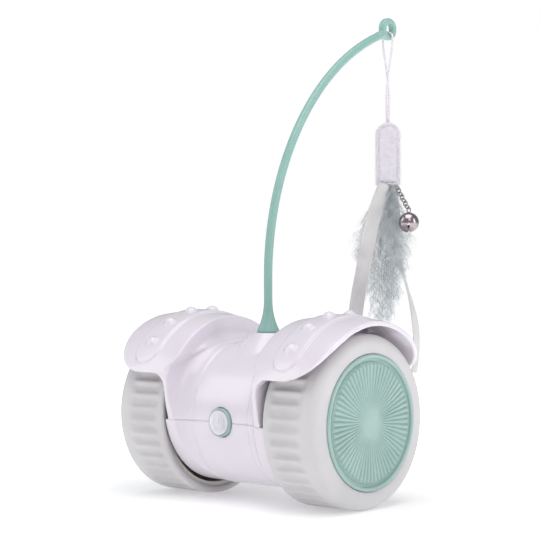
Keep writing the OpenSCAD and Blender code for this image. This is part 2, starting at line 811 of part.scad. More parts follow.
// Plate across the body that carries the motor, the idler pin and the axle's inner end
module gear_plate(side) {
    plate_r = cavity_r - lay_fit;
    plate_front = -8;
    plate_back = column_y - column_r - 2 * lay_fit;
    color(nylon) on_side(side) axle_frame() difference() {
        intersection() {
            bar(plate_x, plate_x + plate_t, 2 * plate_r);
            translate([plate_front, plate_front, 0]) cube([plate_back - plate_front, far, far]);
        }
        bar(0, far, axle_d + 2 * run_fit);
        at(idler_at) bar(0, far, pin_d + 2 * still_fit);
        at(motor_at) bar(0, far, 2.5 * shaft_d + 2 * still_fit);
    }
}

module idler_pin(side) {
    color(steel) on_side(side) axle_frame() at(idler_at) bar(plate_x, bush_x, pin_d);
}

module idler_gear(side) {
    color(nylon) on_side(side) axle_frame() at(idler_at) rotate([0, 0, idler_turn]) difference() {
        union() {
            gear(large_teeth, large_x, gear_w);
            gear(small_teeth, large_x, gear_w + small_w);
        }
        bar(0, far, pin_d + 2 * run_fit);
    }
}

module output_gear(side) {
    color(nylon) on_side(side) axle_frame() difference() {
        gear(output_teeth, output_x, output_w);
        bar(0, far, axle_d + 2 * still_fit);
    }
}

module axle_bush(side) {
    color(brass) on_side(side) axle_frame() difference() {
        union() {
            bar(bush_x, lower_half, bush_d);
            bar(bush_x - bush_flange, bush_x, bush_d + 2 * bush_flange);
        }
        bar(0, far, axle_d + 2 * run_fit);
    }
}

// Wheels

module axle(side) {
    color(steel) on_side(side) axle_frame() difference() {
        bar(axle_x, axle_end, axle_d);
        bar(axle_end - axle_bore_l, far, screw_d + 2 * still_fit);
    }
}

module wheel_rim(side) {
    color(nylon) on_side(side) axle_frame() difference() {
        union() {
            tube(rim_in, rim_out, 2 * rim_r, 2 * (rim_r - rim_wall));
            bar(rim_out - rim_wall, rim_out, 2 * rim_r - rim_wall);
            bar(rim_in, rim_out, 2 * hub_r);
        }
        bar(0, far, axle_d + 2 * still_fit);
    }
}

module axle_screw(side) {
    color(steel) on_side(side) axle_frame() {
        bar(rim_out, rim_out + screw_head_h, 2 * hub_r * 0.6);
        bar(axle_end - axle_screw_l, rim_out, screw_d);
    }
}

// Section of the tyre: tread with rounded shoulders, and an outer lip that closes on the hub cap
module tyre_section() {
    difference() {
        union() {
            translate([0, tyre_in]) square([wheel_r - shoulder_r, tyre_w]);
            translate([0, tyre_in]) square([wheel_r - inner_shoulder_r, tyre_w - shoulder_r]);
            translate([0, tyre_in + inner_shoulder_r]) square([wheel_r, tyre_w - inner_shoulder_r - shoulder_r]);
            translate([wheel_r - shoulder_r, tyre_out - shoulder_r]) circle(shoulder_r);
            translate([wheel_r - inner_shoulder_r, tyre_in + inner_shoulder_r]) circle(inner_shoulder_r);
        }
        square([rim_r + still_fit, rim_out + still_fit]);
        square([cap_d / 2 + lay_fit, far]);
    }
}
// Round bar with long tapered ends that scoops one flute out of the tread
module flute_cutter() {
    scoop_r = (pow(flute_w / 2, 2) + pow(flute_depth, 2)) / (2 * flute_depth);
    tread_mid = (tyre_in + inner_shoulder_r + tyre_out - shoulder_r) / 2 - 1;
    mid_l = flute_l / 2;
    taper_l = (flute_l - mid_l) / 2;
    end_r = scoop_r - 2 * flute_depth;
    translate([wheel_r - flute_depth + scoop_r, 0, tread_mid]) {
        translate([0, 0, -mid_l / 2]) cylinder(r = scoop_r, h = mid_l);
        for (s = [0, 1]) mirror([0, 0, s]) translate([0, 0, mid_l / 2])
            cylinder(r1 = scoop_r, r2 = end_r, h = 2 * taper_l);
    }
}

module tyre(side) {
    color(pale_tyre) on_side(side) axle_frame() difference() {
        rotate_extrude() tyre_section();
        for (i = [0 : flutes - 1]) rotate([0, 0, 360 * i / flutes]) flute_cutter();
    }
}

module hub_cap(side) {
    cap_r = cap_d / 2;
    ring_rise = 0.8;
    sink = 0.4;
    groove_r = cap_r - cap_ring_w - cap_groove_w;
    rib_end = groove_r - cap_rib_r;
    rib_start = cap_r / 5;
    color(mint) on_side(side) axle_frame() {
        difference() {
            union() {
                bar(rim_out, tyre_out, cap_d);
                tube(tyre_out - 1, tyre_out + ring_rise, cap_d, cap_d - 2 * cap_ring_w);
            }
            tube(tyre_out - ring_rise, tyre_out + 2 * ring_rise, cap_d - 2 * cap_ring_w, 2 * groove_r);
            bar(rim_out - 1, rim_out + screw_head_h + lay_fit, 2 * hub_r);
        }
        for (i = [0 : cap_ribs - 1]) rotate([0, 0, 360 * i / cap_ribs]) translate([0, 0, tyre_out - sink]) {
            translate([rib_start, 0, 0]) rotate([0, 90, 0])
                cylinder(r1 = cap_rib_r * rib_start / rib_end, r2 = cap_rib_r, h = rib_end - rib_start, $fn = 24);
            translate([rib_end, 0, 0]) sphere(cap_rib_r, $fn = 24);
        }
    }
}

// Wand

module wand() {
    rod_r = wand_d / 2;
    flare_d = foot_d / 2 - rod_r;
    flare_r = (pow(flare_h, 2) + pow(flare_d, 2)) / (2 * flare_d);
    color(wand_mint) {
        translate([0, 0, platform_z - plug_l]) cylinder(d = plug_d, h = plug_l + foot_edge);
        translate([0, 0, platform_z]) rotate_extrude() {
            square([foot_d / 2, foot_edge]);
            difference() {
                square([foot_d / 2, foot_edge + flare_h]);
                translate([rod_r + flare_r, foot_edge + flare_h]) circle(flare_r, $fn = 360);
            }
        }
        translate([0, 0, platform_z + flare_h]) cylinder(d = wand_d, h = wand_straight - flare_h);
        translate([0, bend_r, bend_z]) rotate([90, 0, -90])
            rotate_extrude(angle = bend, $fn = 360) translate([bend_r, 0]) circle(rod_r, $fn = 48);
        translate([0, bend_end[0], bend_end[1]]) rotate([-bend, 0, 0]) translate([0, 0, -neck_lap])
            cylinder(d1 = wand_d + neck_grow, d2 = 2 * eyelet_t - wand_d, h = neck_lap + eyelet_reach - eyelet_mid);
        translate([0, eyelet_y, eyelet_z]) rotate([0, 90, 0]) rotate_extrude() {
            flat = eyelet_t / 2 - eyelet_r;
            for (s = [-1, 1]) translate([eyelet_mid, s * flat]) circle(eyelet_r);
            translate([eyelet_mid - eyelet_r, -flat]) square([2 * eyelet_r, 2 * flat]);
        }
    }
}

// Lure

function unit(v) = v / norm(v);
// Direction of a route at one of its points
function heading(pts, i) = unit(pts[min(i + 1, len(pts) - 1)] - pts[max(i - 1, 0)]);
// Closed skin over rings of equal count, with flat ends
function skin_faces(rings, sides) = concat(
    [for (i = [0 : rings - 2], k = [0 : sides - 1]) let (a = i * sides, b = a + sides, n = (k + 1) % sides)
        each [[a + k, a + n, b + n], [a + k, b + n, b + k]]],
    [for (k = [1 : sides - 2]) [0, k + 1, k]],
    [for (k = [1 : sides - 2]) let (e = (rings - 1) * sides) [e, e + k, e + k + 1]]
);
function cord_ring(pts, i) = let (
    ahead = heading(pts, i),
    across = unit(cross([0, 1, 0], ahead)),
    other = cross(ahead, across)
) [for (k = [0 : cord_sides - 1]) let (a = 360 * k / cord_sides)
    pts[i] + cord_d / 2 * (cos(a) * across + sin(a) * other)];

module cord_loop() {
    rings = len(cord_points);
    color(satin) translate([0, eyelet_y, eyelet_z])
        polyhedron([for (i = [0 : rings - 1]) each cord_ring(cord_points, i)], skin_faces(rings, cord_sides));
}

// Felt tab with a round top, sewn over the string and the ends of the ribbons
module felt_tab() {
    color(felt_white) lure_frame() rotate([90, 0, 0]) translate([0, 0, -felt_t / 2]) linear_extrude(felt_t) {
        translate([0, felt_l - felt_w / 2]) circle(felt_w / 2);
        translate([-felt_w / 2, 0]) square([felt_w, felt_l - felt_w / 2]);
    }
}

function ribbon_ring(route, i) = let (
    pts = [for (p = route) [p[0], p[1], p[2]]],
    ahead = heading(pts, i),
    turn = route[i][3],
    across = unit(cross(cross(ahead, [cos(turn), sin(turn), 0]), ahead)),
    face = cross(ahead, across),
    w = ribbon_w / 2,
    t = ribbon_t / 2
) [for (c = [[-w, -t], [w, -t], [w, t], [-w, t]]) pts[i] + c[0] * across + c[1] * face];

module ribbon(route) {
    rings = len(route);
    color(satin) lure_frame()
        polyhedron([for (i = [0 : rings - 1]) each ribbon_ring(route, i)], skin_faces(rings, 4));
}

// Tuft of feathers as one spindle, leaning a little from the felt's foot
module feather_tuft() {
    neck_r = 2.4;
    tuft_r = tuft_d / 2;
    lean = -2;
    long_r = (pow(tuft_l / 2, 2) + pow(tuft_r - neck_r, 2)) / (2 * (tuft_r - neck_r));
    color(feather_grey) lure_frame() translate([0.6, 0, -0.3]) rotate([0, lean, 0]) translate([0, 0, -tuft_l])
        rotate_extrude() intersection() {
            translate([tuft_r - long_r, tuft_l / 2]) circle(long_r, $fn = 360);
            square([tuft_r + 1, tuft_l]);
        }
}

// Round link of wire, lying across the X axis
module link() { rotate([90, 0, 0]) rotate_extrude($fn = 48) translate([loop_r, 0]) circle(link_wire, $fn = 24); }
chain_yaw = atan2(chain_way[1], chain_way[0]);

// Links from the felt's foot to the bell's loop, each turned across its neighbours
module bell_chain() {
    color(steel) lure_frame() for (i = [0 : chain_links - 1]) translate(chain_from + chain_way * i / chain_links)
        rotate([0, acos(chain_way[2] / norm(chain_way)), chain_yaw]) rotate([0, 0, 90 * (i + chain_links)]) link();
}

module bell() {
    color(bell_grey) lure_frame() {
        translate(bell_at) difference() {
            rotate(bell_turn) rotate([0, -90, 0]) difference() {
                sphere(bell_r);
                sphere(bell_r - bell_wall);
            }
            for (a = [0, 90]) rotate([0, 0, a]) translate([-bell_r, -bell_slot / 2, -bell_d - slot_drop])
                cube([bell_d, bell_slot, bell_d]);
            for (a = [0 : 90 : 270]) rotate([0, 0, a]) translate([bell_r / 2, 0, -slot_drop])
                rotate([0, 90, 0]) cylinder(d = slot_eye, h = bell_r);
        }
        translate(bell_loop) rotate([0, 0, chain_yaw]) link();
    }
}

module bell_pellet() {
    color(steel) lure_frame() translate(bell_at - [0, 0, bell_r - bell_wall - pellet_d / 2 - lay_fit])
        sphere(d = pellet_d);
}

upper_shell();
lower_shell();
button_ring();
power_button();
push_switch();
switch_plunger();
circuit_board();
board_screws();
battery();
charging_board();
charging_socket();
counterweight();
body_screws();
motor(right);  // motor_right
motor(left);  // motor_left
motor_shaft(right);  // motor_shaft_right
motor_shaft(left);  // motor_shaft_left
motor_pinion(right);  // motor_pinion_right
motor_pinion(left);  // motor_pinion_left
gear_plate(right);  // gear_plate_right
gear_plate(left);  // gear_plate_left
idler_pin(right);  // idler_pin_right
idler_pin(left);  // idler_pin_left
idler_gear(right);  // idler_gear_right
idler_gear(left);  // idler_gear_left
output_gear(right);  // output_gear_right
output_gear(left);  // output_gear_left
axle_bush(right);  // axle_bush_right
axle_bush(left);  // axle_bush_left
axle(right);  // axle_right
axle(left);  // axle_left
wheel_rim(right);  // wheel_rim_right
wheel_rim(left);  // wheel_rim_left
axle_screw(right);  // axle_screw_right
axle_screw(left);  // axle_screw_left
tyre(right);  // tyre_right
tyre(left);  // tyre_left
hub_cap(right);  // hub_cap_right
hub_cap(left);  // hub_cap_left
wand();
cord_loop();
felt_tab();
ribbon(front_route);  // ribbon_front
ribbon(rear_route);  // ribbon_rear
feather_tuft();
bell_chain();
bell();
bell_pellet();
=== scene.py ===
import math
import random

import bmesh
import bpy
from mathutils import Matrix, Vector, noise


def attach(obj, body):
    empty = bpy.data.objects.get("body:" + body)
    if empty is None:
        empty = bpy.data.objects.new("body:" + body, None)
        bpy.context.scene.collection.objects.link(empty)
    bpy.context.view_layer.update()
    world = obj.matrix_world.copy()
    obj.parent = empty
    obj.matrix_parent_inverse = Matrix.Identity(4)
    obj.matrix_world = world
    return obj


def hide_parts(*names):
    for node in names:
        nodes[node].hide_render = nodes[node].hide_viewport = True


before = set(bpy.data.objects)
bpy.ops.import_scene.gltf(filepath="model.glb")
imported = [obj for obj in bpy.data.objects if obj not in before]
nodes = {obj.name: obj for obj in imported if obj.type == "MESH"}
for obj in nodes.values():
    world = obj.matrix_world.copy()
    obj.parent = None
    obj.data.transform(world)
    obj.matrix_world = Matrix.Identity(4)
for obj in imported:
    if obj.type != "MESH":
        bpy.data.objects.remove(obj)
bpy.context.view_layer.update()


# Studio: a flat sheet of white paper, an even white room, one large soft box above the toy and three round it.
# The camera stands at the photograph's place, at about half of the toy's height and to the right of the button.
MM = 0.001
TOY_MIDDLE = Vector((0, 0.02, 0.08))
PAPER_HALF = 6.0
scene = bpy.context.scene
scene.view_settings.view_transform = "Standard"
camera = bpy.data.objects.new("camera", bpy.data.cameras.new("camera"))
scene.collection.objects.link(camera)
camera.location = Vector((540.9, -609.4, 120.85)) * MM
camera.rotation_euler = (math.radians(88.766), math.radians(0.234), math.radians(41.525))
camera.data.sensor_width = 36
camera.data.lens = 120.442
camera.data.clip_start = 0.01
scene.camera = camera

room = bpy.data.worlds.new("white_room")
scene.world = room
room.use_nodes = True
room_nodes, room_links = room.node_tree.nodes, room.node_tree.links
room_nodes.clear()
seen_paper = room_nodes.new("ShaderNodeBackground")
seen_paper.inputs["Color"].default_value = (1, 1, 1, 1)
seen_paper.inputs["Strength"].default_value = 1.0
room_light = room_nodes.new("ShaderNodeBackground")
room_light.inputs["Color"].default_value = (0.97, 0.97, 1.0, 1)
room_light.inputs["Strength"].default_value = 0.37
ray_kind = room_nodes.new("ShaderNodeLightPath")
room_pick = room_nodes.new("ShaderNodeMixShader")
room_out = room_nodes.new("ShaderNodeOutputWorld")
room_links.new(ray_kind.outputs["Is Camera Ray"], room_pick.inputs[0])
room_links.new(room_light.outputs[0], room_pick.inputs[1])
room_links.new(seen_paper.outputs[0], room_pick.inputs[2])
room_links.new(room_pick.outputs[0], room_out.inputs["Surface"])


def soft_box(name, place, size, watts):
    light = bpy.data.lights.new(name, "AREA")
    light.shape = "RECTANGLE"
    light.size, light.size_y = size
    light.energy = watts
    lamp = bpy.data.objects.new(name, light)
    scene.collection.objects.link(lamp)
    lamp.location = place
    lamp.rotation_euler = (TOY_MIDDLE - Vector(place)).to_track_quat("-Z", "Y").to_euler()


soft_box("top_box", (0.1, -0.15, 1.3), (1.1, 1.1), 9.6)
soft_box("left_box", (-0.9, -0.75, 0.75), (0.5, 0.8), 2.0)
soft_box("right_box", (1.0, 0.4, 0.45), (0.3, 0.7), 2.2)
soft_box("front_box", (0.75, -0.6, 0.85), (0.35, 0.6), 1.4)


def shade_round(mesh):
    mesh.polygons.foreach_set("use_smooth", [True] * len(mesh.polygons))


def plain_mesh(name, points, faces):
    mesh = bpy.data.meshes.new(name)
    mesh.from_pydata([tuple(p) for p in points], [], faces)
    mesh.update()
    shade_round(mesh)
    thing = bpy.data.objects.new(name, mesh)
    scene.collection.objects.link(thing)
    return thing


def blank_material(name, roughness, bump_depth=0.0):
    """A material with one Principled shader, and a Bump node in front of its normal where a depth is given."""
    material = bpy.data.materials.new(name)
    material.use_nodes = True
    shader = material.node_tree.nodes["Principled BSDF"]
    shader.inputs["Roughness"].default_value = roughness
    bump = None
    if bump_depth:
        bump = material.node_tree.nodes.new("ShaderNodeBump")
        bump.inputs["Strength"].default_value = 1.0
        bump.inputs["Distance"].default_value = bump_depth
        material.node_tree.links.new(bump.outputs["Normal"], shader.inputs["Normal"])
    return material, shader, bump


paper, paper_shader, paper_bump = blank_material("white_paper", 0.45, 0.0002)
paper_nodes, paper_links = paper.node_tree.nodes, paper.node_tree.links
paper_noise = paper_nodes.new("ShaderNodeTexNoise")
paper_noise.inputs["Scale"].default_value = 60.0
paper_links.new(paper_noise.outputs["Fac"], paper_bump.inputs["Height"])
paper_shader.inputs["Base Color"].default_value = (0.93, 0.93, 0.93, 1)
paper_place = paper_nodes.new("ShaderNodeNewGeometry")
paper_way = paper_nodes.new("ShaderNodeVectorMath")
paper_way.operation = "LENGTH"
paper_glow = paper_nodes.new("ShaderNodeMapRange")
paper_glow.interpolation_type = "SMOOTHSTEP"
for label, value in (("From Min", 0.05), ("From Max", 0.26), ("To Min", 0.26), ("To Max", 0.7)):
    paper_glow.inputs[label].default_value = value
paper_links.new(paper_place.outputs["Position"], paper_way.inputs[0])
paper_links.new(paper_way.outputs["Value"], paper_glow.inputs["Value"])
paper_links.new(paper_glow.outputs[0], paper_shader.inputs["Emission Color"])
paper_shader.inputs["Emission Strength"].default_value = 1.0
paper_shader.inputs["Specular IOR Level"].default_value = 0.25
paper_corners = [(x * PAPER_HALF, y * PAPER_HALF, 0) for x, y in ((-1, -1), (1, -1), (1, 1), (-1, 1))]
floor = plain_mesh("floor_paper", paper_corners, [(0, 1, 2, 3)])
floor.data.materials.append(paper)


# String: one loop of twisted white polyester twine, 1.1 mm thick, that runs from the felt tab up through
# the wand's eyelet and back down. Its two legs cross once on the way.
EYELET = Vector((0, 88.328, 218.679))
TWINE_D = 1.1
TWINE_WAY = [
    (-0.7, 0, -45.2), (-0.7, 0, -43), (-0.6, -0.3, -38), (-0.3, -0.6, -33), (0.1, -0.7, -29), (0.6, -0.6, -24),
    (1.3, -0.3, -18), (2.2, 0, -12), (2.8, 0, -8), (2.9, 0, -4), (2.2, 0, -2.3), (0.6, 0, -1.6), (-0.6, 0, -1.6),
    (-2.2, 0, -2.3), (-2.9, 0, -4), (-2.8, 0, -8), (-2.2, 0, -12), (-1.3, 0.3, -18), (-0.6, 0.6, -24),
    (-0.1, 0.7, -29), (0.3, 0.6, -33), (0.6, 0.3, -38), (0.7, 0, -43), (0.7, 0, -45.2)]


def smooth_way(points, step):
    """Points about one step apart on a rounded line through the given ones; each point may carry more values."""
    ends = [[2 * a - b for a, b in zip(points[0], points[1])], *map(list, points),
            [2 * a - b for a, b in zip(points[-1], points[-2])]]
    way = []
    for p0, p1, p2, p3 in zip(ends, ends[1:], ends[2:], ends[3:]):
        count = max(2, int(math.dist(p1[:3], p2[:3]) / step))
        for k in range(count):
            t = k / count
            way.append([0.5 * (2 * b + (c - a) * t + (2 * a - 5 * b + 4 * c - d) * t * t
                               + (3 * b - a - 3 * c + d) * t ** 3) for a, b, c, d in zip(p0, p1, p2, p3)])
    way.append(list(points[-1]))
    return way


def twisted_tube(name, way, radius, lobes, lobe_depth, turn_step, sides=18):
    """A round cord of a few plies: a lobed section that turns as it goes along the way."""
    points, faces = [], []
    across = Vector((0, 1, 0))
    for i, p in enumerate(way):
        ahead = (way[min(i + 1, len(way) - 1)] - way[max(i - 1, 0)]).normalized()
        across = (across - ahead * across.dot(ahead)).normalized()
        side = ahead.cross(across)
        for k in range(sides):
            a = 2 * math.pi * k / sides
            r = radius * (1 - lobe_depth + lobe_depth * abs(math.cos(lobes * (a + i * turn_step) / 2)))
            points.append(p + (across * math.cos(a) + side * math.sin(a)) * r)
    for i in range(len(way) - 1):
        for k in range(sides):
            n = (k + 1) % sides
            faces.append((i * sides + k, i * sides + n, (i + 1) * sides + n, (i + 1) * sides + k))
    faces.append(tuple(reversed(range(sides))))
    faces.append(tuple(range((len(way) - 1) * sides, len(way) * sides)))
    return plain_mesh(name, points, faces)


twine_way = [(EYELET + Vector(p)) * MM for p in smooth_way(TWINE_WAY, 0.35)]
twine = twisted_tube("string_loop", twine_way, TWINE_D / 2 * MM, 3, 0.22, 0.33)

tint_group = bpy.data.node_groups.new("mottled_skin", "ShaderNodeTree")
for label, kind, value in (("Colour", "NodeSocketColor", (0.8, 0.8, 0.8, 1)),
                           ("Shade", "NodeSocketColor", (0.7, 0.7, 0.7, 1)),
                           ("Patch Scale", "NodeSocketFloat", 40.0), ("Grain Scale", "NodeSocketFloat", 1500.0),
                           ("Rough Low", "NodeSocketFloat", 0.2), ("Rough High", "NodeSocketFloat", 0.3)):
    tint_group.interface.new_socket(label, in_out="INPUT", socket_type=kind).default_value = value
for label, kind in (("Colour", "NodeSocketColor"), ("Roughness", "NodeSocketFloat"), ("Height", "NodeSocketFloat")):
    tint_group.interface.new_socket(label, in_out="OUTPUT", socket_type=kind)
tint_nodes, tint_links = tint_group.nodes, tint_group.links
tint_in, tint_out = tint_nodes.new("NodeGroupInput"), tint_nodes.new("NodeGroupOutput")
tint_place = tint_nodes.new("ShaderNodeTexCoord")
tint_patch = tint_nodes.new("ShaderNodeTexNoise")
tint_patch.inputs["Detail"].default_value = 5.0
tint_grain = tint_nodes.new("ShaderNodeTexNoise")
tint_grain.inputs["Detail"].default_value = 3.0
tint_mix = tint_nodes.new("ShaderNodeMix")
tint_mix.data_type = "RGBA"
tint_rough, tint_spread = tint_nodes.new("ShaderNodeMapRange"), tint_nodes.new("ShaderNodeMapRange")
for ramp in (tint_rough, tint_spread):
    ramp.inputs["From Min"].default_value = 0.3
    ramp.inputs["From Max"].default_value = 0.7
tint_links.new(tint_place.outputs["Object"], tint_patch.inputs["Vector"])
tint_links.new(tint_place.outputs["Object"], tint_grain.inputs["Vector"])
tint_links.new(tint_in.outputs["Patch Scale"], tint_patch.inputs["Scale"])
tint_links.new(tint_in.outputs["Grain Scale"], tint_grain.inputs["Scale"])
tint_links.new(tint_patch.outputs["Fac"], tint_spread.inputs["Value"])
tint_links.new(tint_spread.outputs[0], tint_mix.inputs[0])
tint_links.new(tint_in.outputs["Colour"], tint_mix.inputs[6])
tint_links.new(tint_in.outputs["Shade"], tint_mix.inputs[7])
tint_links.new(tint_mix.outputs[2], tint_out.inputs["Colour"])
tint_links.new(tint_patch.outputs["Fac"], tint_rough.inputs["Value"])
tint_links.new(tint_in.outputs["Rough Low"], tint_rough.inputs["To Min"])
tint_links.new(tint_in.outputs["Rough High"], tint_rough.inputs["To Max"])
tint_links.new(tint_rough.outputs[0], tint_out.inputs["Roughness"])
tint_links.new(tint_grain.outputs["Fac"], tint_out.inputs["Height"])


def linear(red, green, blue):
    """A colour as a screen shows it, 0 to 255, turned into the light that the shader works in."""
    shown = (red / 255, green / 255, blue / 255)
    return tuple(c / 12.92 if c < 0.0404 else ((c + 0.055) / 1.055) ** 2.4 for c in shown) + (1,)


def mottled_material(name, colour, shade, rough, patch, grain, depth, finish=()):
    """Moulded, turned or drawn stuff: two close tones in soft patches, uneven gloss, fine grain.

    The finish gives values for other sockets of the shader, such as its sheen or its coat."""
    material, shader, bump = blank_material(name, rough[0], depth)
    skin = material.node_tree.nodes.new("ShaderNodeGroup")
    skin.node_tree = tint_group
    for label, value in (("Colour", linear(*colour)), ("Shade", linear(*shade)), ("Patch Scale", patch),
                         ("Grain Scale", grain), ("Rough Low", rough[0]), ("Rough High", rough[1])):
        skin.inputs[label].default_value = value
    for label, value in finish:
        shader.inputs[label].default_value = value
    links = material.node_tree.links
    links.new(skin.outputs["Colour"], shader.inputs["Base Color"])
    links.new(skin.outputs["Roughness"], shader.inputs["Roughness"])
    links.new(skin.outputs["Height"], bump.inputs["Height"])
    return material


twine_skin = mottled_material("twisted_twine", (236, 230, 238), (222, 215, 224), (0.6, 0.8), 900.0, 6000.0, 0.00001,
                              [("Sheen Weight", 0.2)])
twine.data.materials.append(twine_skin)
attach(twine, "string")
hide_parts("cord_loop")


# Shells: glossy white moulded plastic, upper and lower half, parted a little below the axle and screwed together.
# Copies of the two solids are remade as one even skin and eased, so that every edge is round as from a mould,
# apart from the parting line, which stays crisp.
SEAM_Z, SEAM_FLAT, SEAM_GAP, SEAM_EASE = 37.0, 0.32, 0.03, 0.9
RIM_FROM, RIM_SPREAD = 26.5, 0.6


def made_real(thing):
    """Puts the modifiers' result in the place of the thing's mesh."""
    view = bpy.context.evaluated_depsgraph_get()
    done = bpy.data.meshes.new_from_object(thing.evaluated_get(view))
    old = thing.data
    thing.modifiers.clear()
    thing.data = done
    bpy.data.meshes.remove(old)


def eased_copy(node, name, grain_mm, passes, keep=1.0, crisp_z=None, flare=0.0, cling=False):
    """One even skin over a copy of a CAD node, its edges eased by smoothing, thinned out to the share to keep.

    Where a height is to stay crisp, the faces there are pressed flat, and a flare spreads the skin's rims sideways.
    A skin that clings is laid back on the CAD node and eased once more, a little."""
    mesh = bpy.data.meshes.new(name)
    work = bmesh.new()
    work.from_mesh(nodes[node].data)
    bmesh.ops.remove_doubles(work, verts=work.verts, dist=1e-6)
    work.to_mesh(mesh)
    work.free()
    copy = bpy.data.objects.new(name, mesh)
    scene.collection.objects.link(copy)
    skin = copy.modifiers.new("even_skin", "REMESH")
    skin.mode = "VOXEL"
    skin.voxel_size = grain_mm * MM
    made_real(copy)
    ease = copy.modifiers.new("ease", "SMOOTH")
    ease.factor = 0.5
    ease.iterations = passes
    if crisp_z is not None:
        soft = copy.vertex_groups.new(name="soft")
        for v in copy.data.vertices:
            away = v.co.z / MM - crisp_z
            soft.add([v.index], min(1.0, max(0.0, abs(away) / SEAM_EASE - 0.4)), "REPLACE")
            if abs(away) < SEAM_FLAT:
                v.co.z = (crisp_z + math.copysign(SEAM_GAP, away)) * MM
            spread = min(1.0, max(0.0, abs(v.co.x) / MM - RIM_FROM))
            v.co.x += math.copysign(flare * spread, v.co.x) * MM
        ease.vertex_group = "soft"
    if cling:
        lay = copy.modifiers.new("lay_on", "SHRINKWRAP")
        lay.target = nodes[node]
        ease = copy.modifiers.new("ease_again", "SMOOTH")
        ease.factor = 0.5
        ease.iterations = 4
    if keep < 1:
        thin = copy.modifiers.new("thin_out", "DECIMATE")
        thin.ratio = keep
    made_real(copy)
    copy.data.name = name
    shade_round(copy.data)
    return copy


white_skin = mottled_material(
    "white_gloss_shell", (231, 225, 233), (225, 219, 228), (0.18, 0.26), 30.0, 900.0, 0.000006,
    [("Coat Weight", 0.25), ("Coat Roughness", 0.08), ("Subsurface Weight", 0.3),
     ("Subsurface Radius", (1.0, 0.9, 0.9)), ("Subsurface Scale", 0.0025)])
for node, flare in (("upper_shell", 0.0), ("lower_shell", RIM_SPREAD)):
    shell = eased_copy(node, node + "_skin", grain_mm=0.4, passes=7, keep=0.5, crisp_z=SEAM_Z, flare=flare)
    shell.data.materials.clear()
    shell.data.materials.append(white_skin)
    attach(shell, "body")
    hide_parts(node)


# Button: a thin mint ring let into the waist, and a white cap in it that goes in 0.8 mm when pressed.
# Both are small glossy mouldings; the cap carries the power sign in low relief.
mint_skin = mottled_material("mint_gloss", (168, 196, 190), (158, 187, 181), (0.13, 0.2), 60.0, 1200.0, 0.000008)
cap_skin = mottled_material("white_button", (240, 236, 242), (206, 204, 212), (0.2, 0.28), 80.0, 1200.0, 0.000006)


def dress(node, material):
    """Gives a CAD node that keeps its own shape a material of its own."""
    mesh = nodes[node].data
    mesh.materials.clear()
    mesh.materials.append(material)
    shade_round(mesh)


dress("button_ring", mint_skin)
dress("power_button", cap_skin)


# Tyres: pale matt soft rubber, moulded as one band with a lip on its outer side, pressed over the rim.
# The tread has forty shallow scoops whose ends run out softly; the sidewall is plain, with a faint mould line.
TYRE_IN, TYRE_OUT, TYRE_R = 30.0, 59.0, 38.2
RIM_R, RIM_OUT, LIP_R = 35.12, 55.02, 29.8
SHOULDER, INNER_SHOULDER, LIP_EDGE = 4.5, 1.1, 0.3
MOULD_LINE, MOULD_LINE_R, TREAD_STEPS = 0.02, 32.8, 30
SCOOPS, SCOOP_DEPTH, SCOOP_W, SCOOP_L, SCOOP_RUN_OUT = 40, 1.35, 4.4, 18.6, 2.2


def lathe(name, profile, count, side, shift):
    """Turns a closed profile of (distance out along the axle, radius) round the axle; shift moves single points.

    Points that fall together on the axle become one."""
    points, faces = [], []
    rows = len(profile)
    for i in range(count):
        a = 2 * math.pi * i / count
        for x, r in profile:
            dx, dr = shift(a, x, r)
            points.append((side * (x + dx) * MM, math.cos(a) * (r + dr) * MM, (TYRE_R + math.sin(a) * (r + dr)) * MM))
    for i in range(count):
        j = (i + 1) % count
        for k in range(rows):
            n = (k + 1) % rows
            quad = (i * rows + k, i * rows + n, j * rows + n, j * rows + k)
            faces.append(quad if side < 0 else quad[::-1])
    turned = plain_mesh(name, points, faces)
    work = bmesh.new()
    work.from_mesh(turned.data)
    bmesh.ops.remove_doubles(work, verts=work.verts, dist=1e-7)
    work.to_mesh(turned.data)
    work.free()
    return turned


def arc(x, r, radius, start, stop, count):
    return [(x + radius * math.cos(math.radians(start + (stop - start) * k / count)),
             r + radius * math.sin(math.radians(start + (stop - start) * k / count))) for k in range(count + 1)]


tread_a, tread_b = TYRE_IN + INNER_SHOULDER, TYRE_OUT - SHOULDER
tyre_profile = [(RIM_OUT, LIP_R), (TYRE_OUT - LIP_EDGE, LIP_R), (TYRE_OUT, LIP_R + LIP_EDGE), (TYRE_OUT, 31.5),
                (TYRE_OUT + MOULD_LINE, MOULD_LINE_R), (TYRE_OUT, TYRE_R - SHOULDER),
                (TYRE_OUT - MOULD_LINE, TYRE_R - SHOULDER + 0.2)]
tyre_profile += arc(TYRE_OUT - SHOULDER, TYRE_R - SHOULDER, SHOULDER, 6, 90, 10)
tyre_profile += [(tread_b + (tread_a - tread_b) * k / TREAD_STEPS, TYRE_R) for k in range(1, TREAD_STEPS)]
tyre_profile += arc(TYRE_IN + INNER_SHOULDER, TYRE_R - INNER_SHOULDER, INNER_SHOULDER, 90, 180, 7)
tyre_profile += [(TYRE_IN, RIM_R + 0.02), (TYRE_IN + LIP_EDGE, RIM_R), (RIM_OUT, RIM_R)]


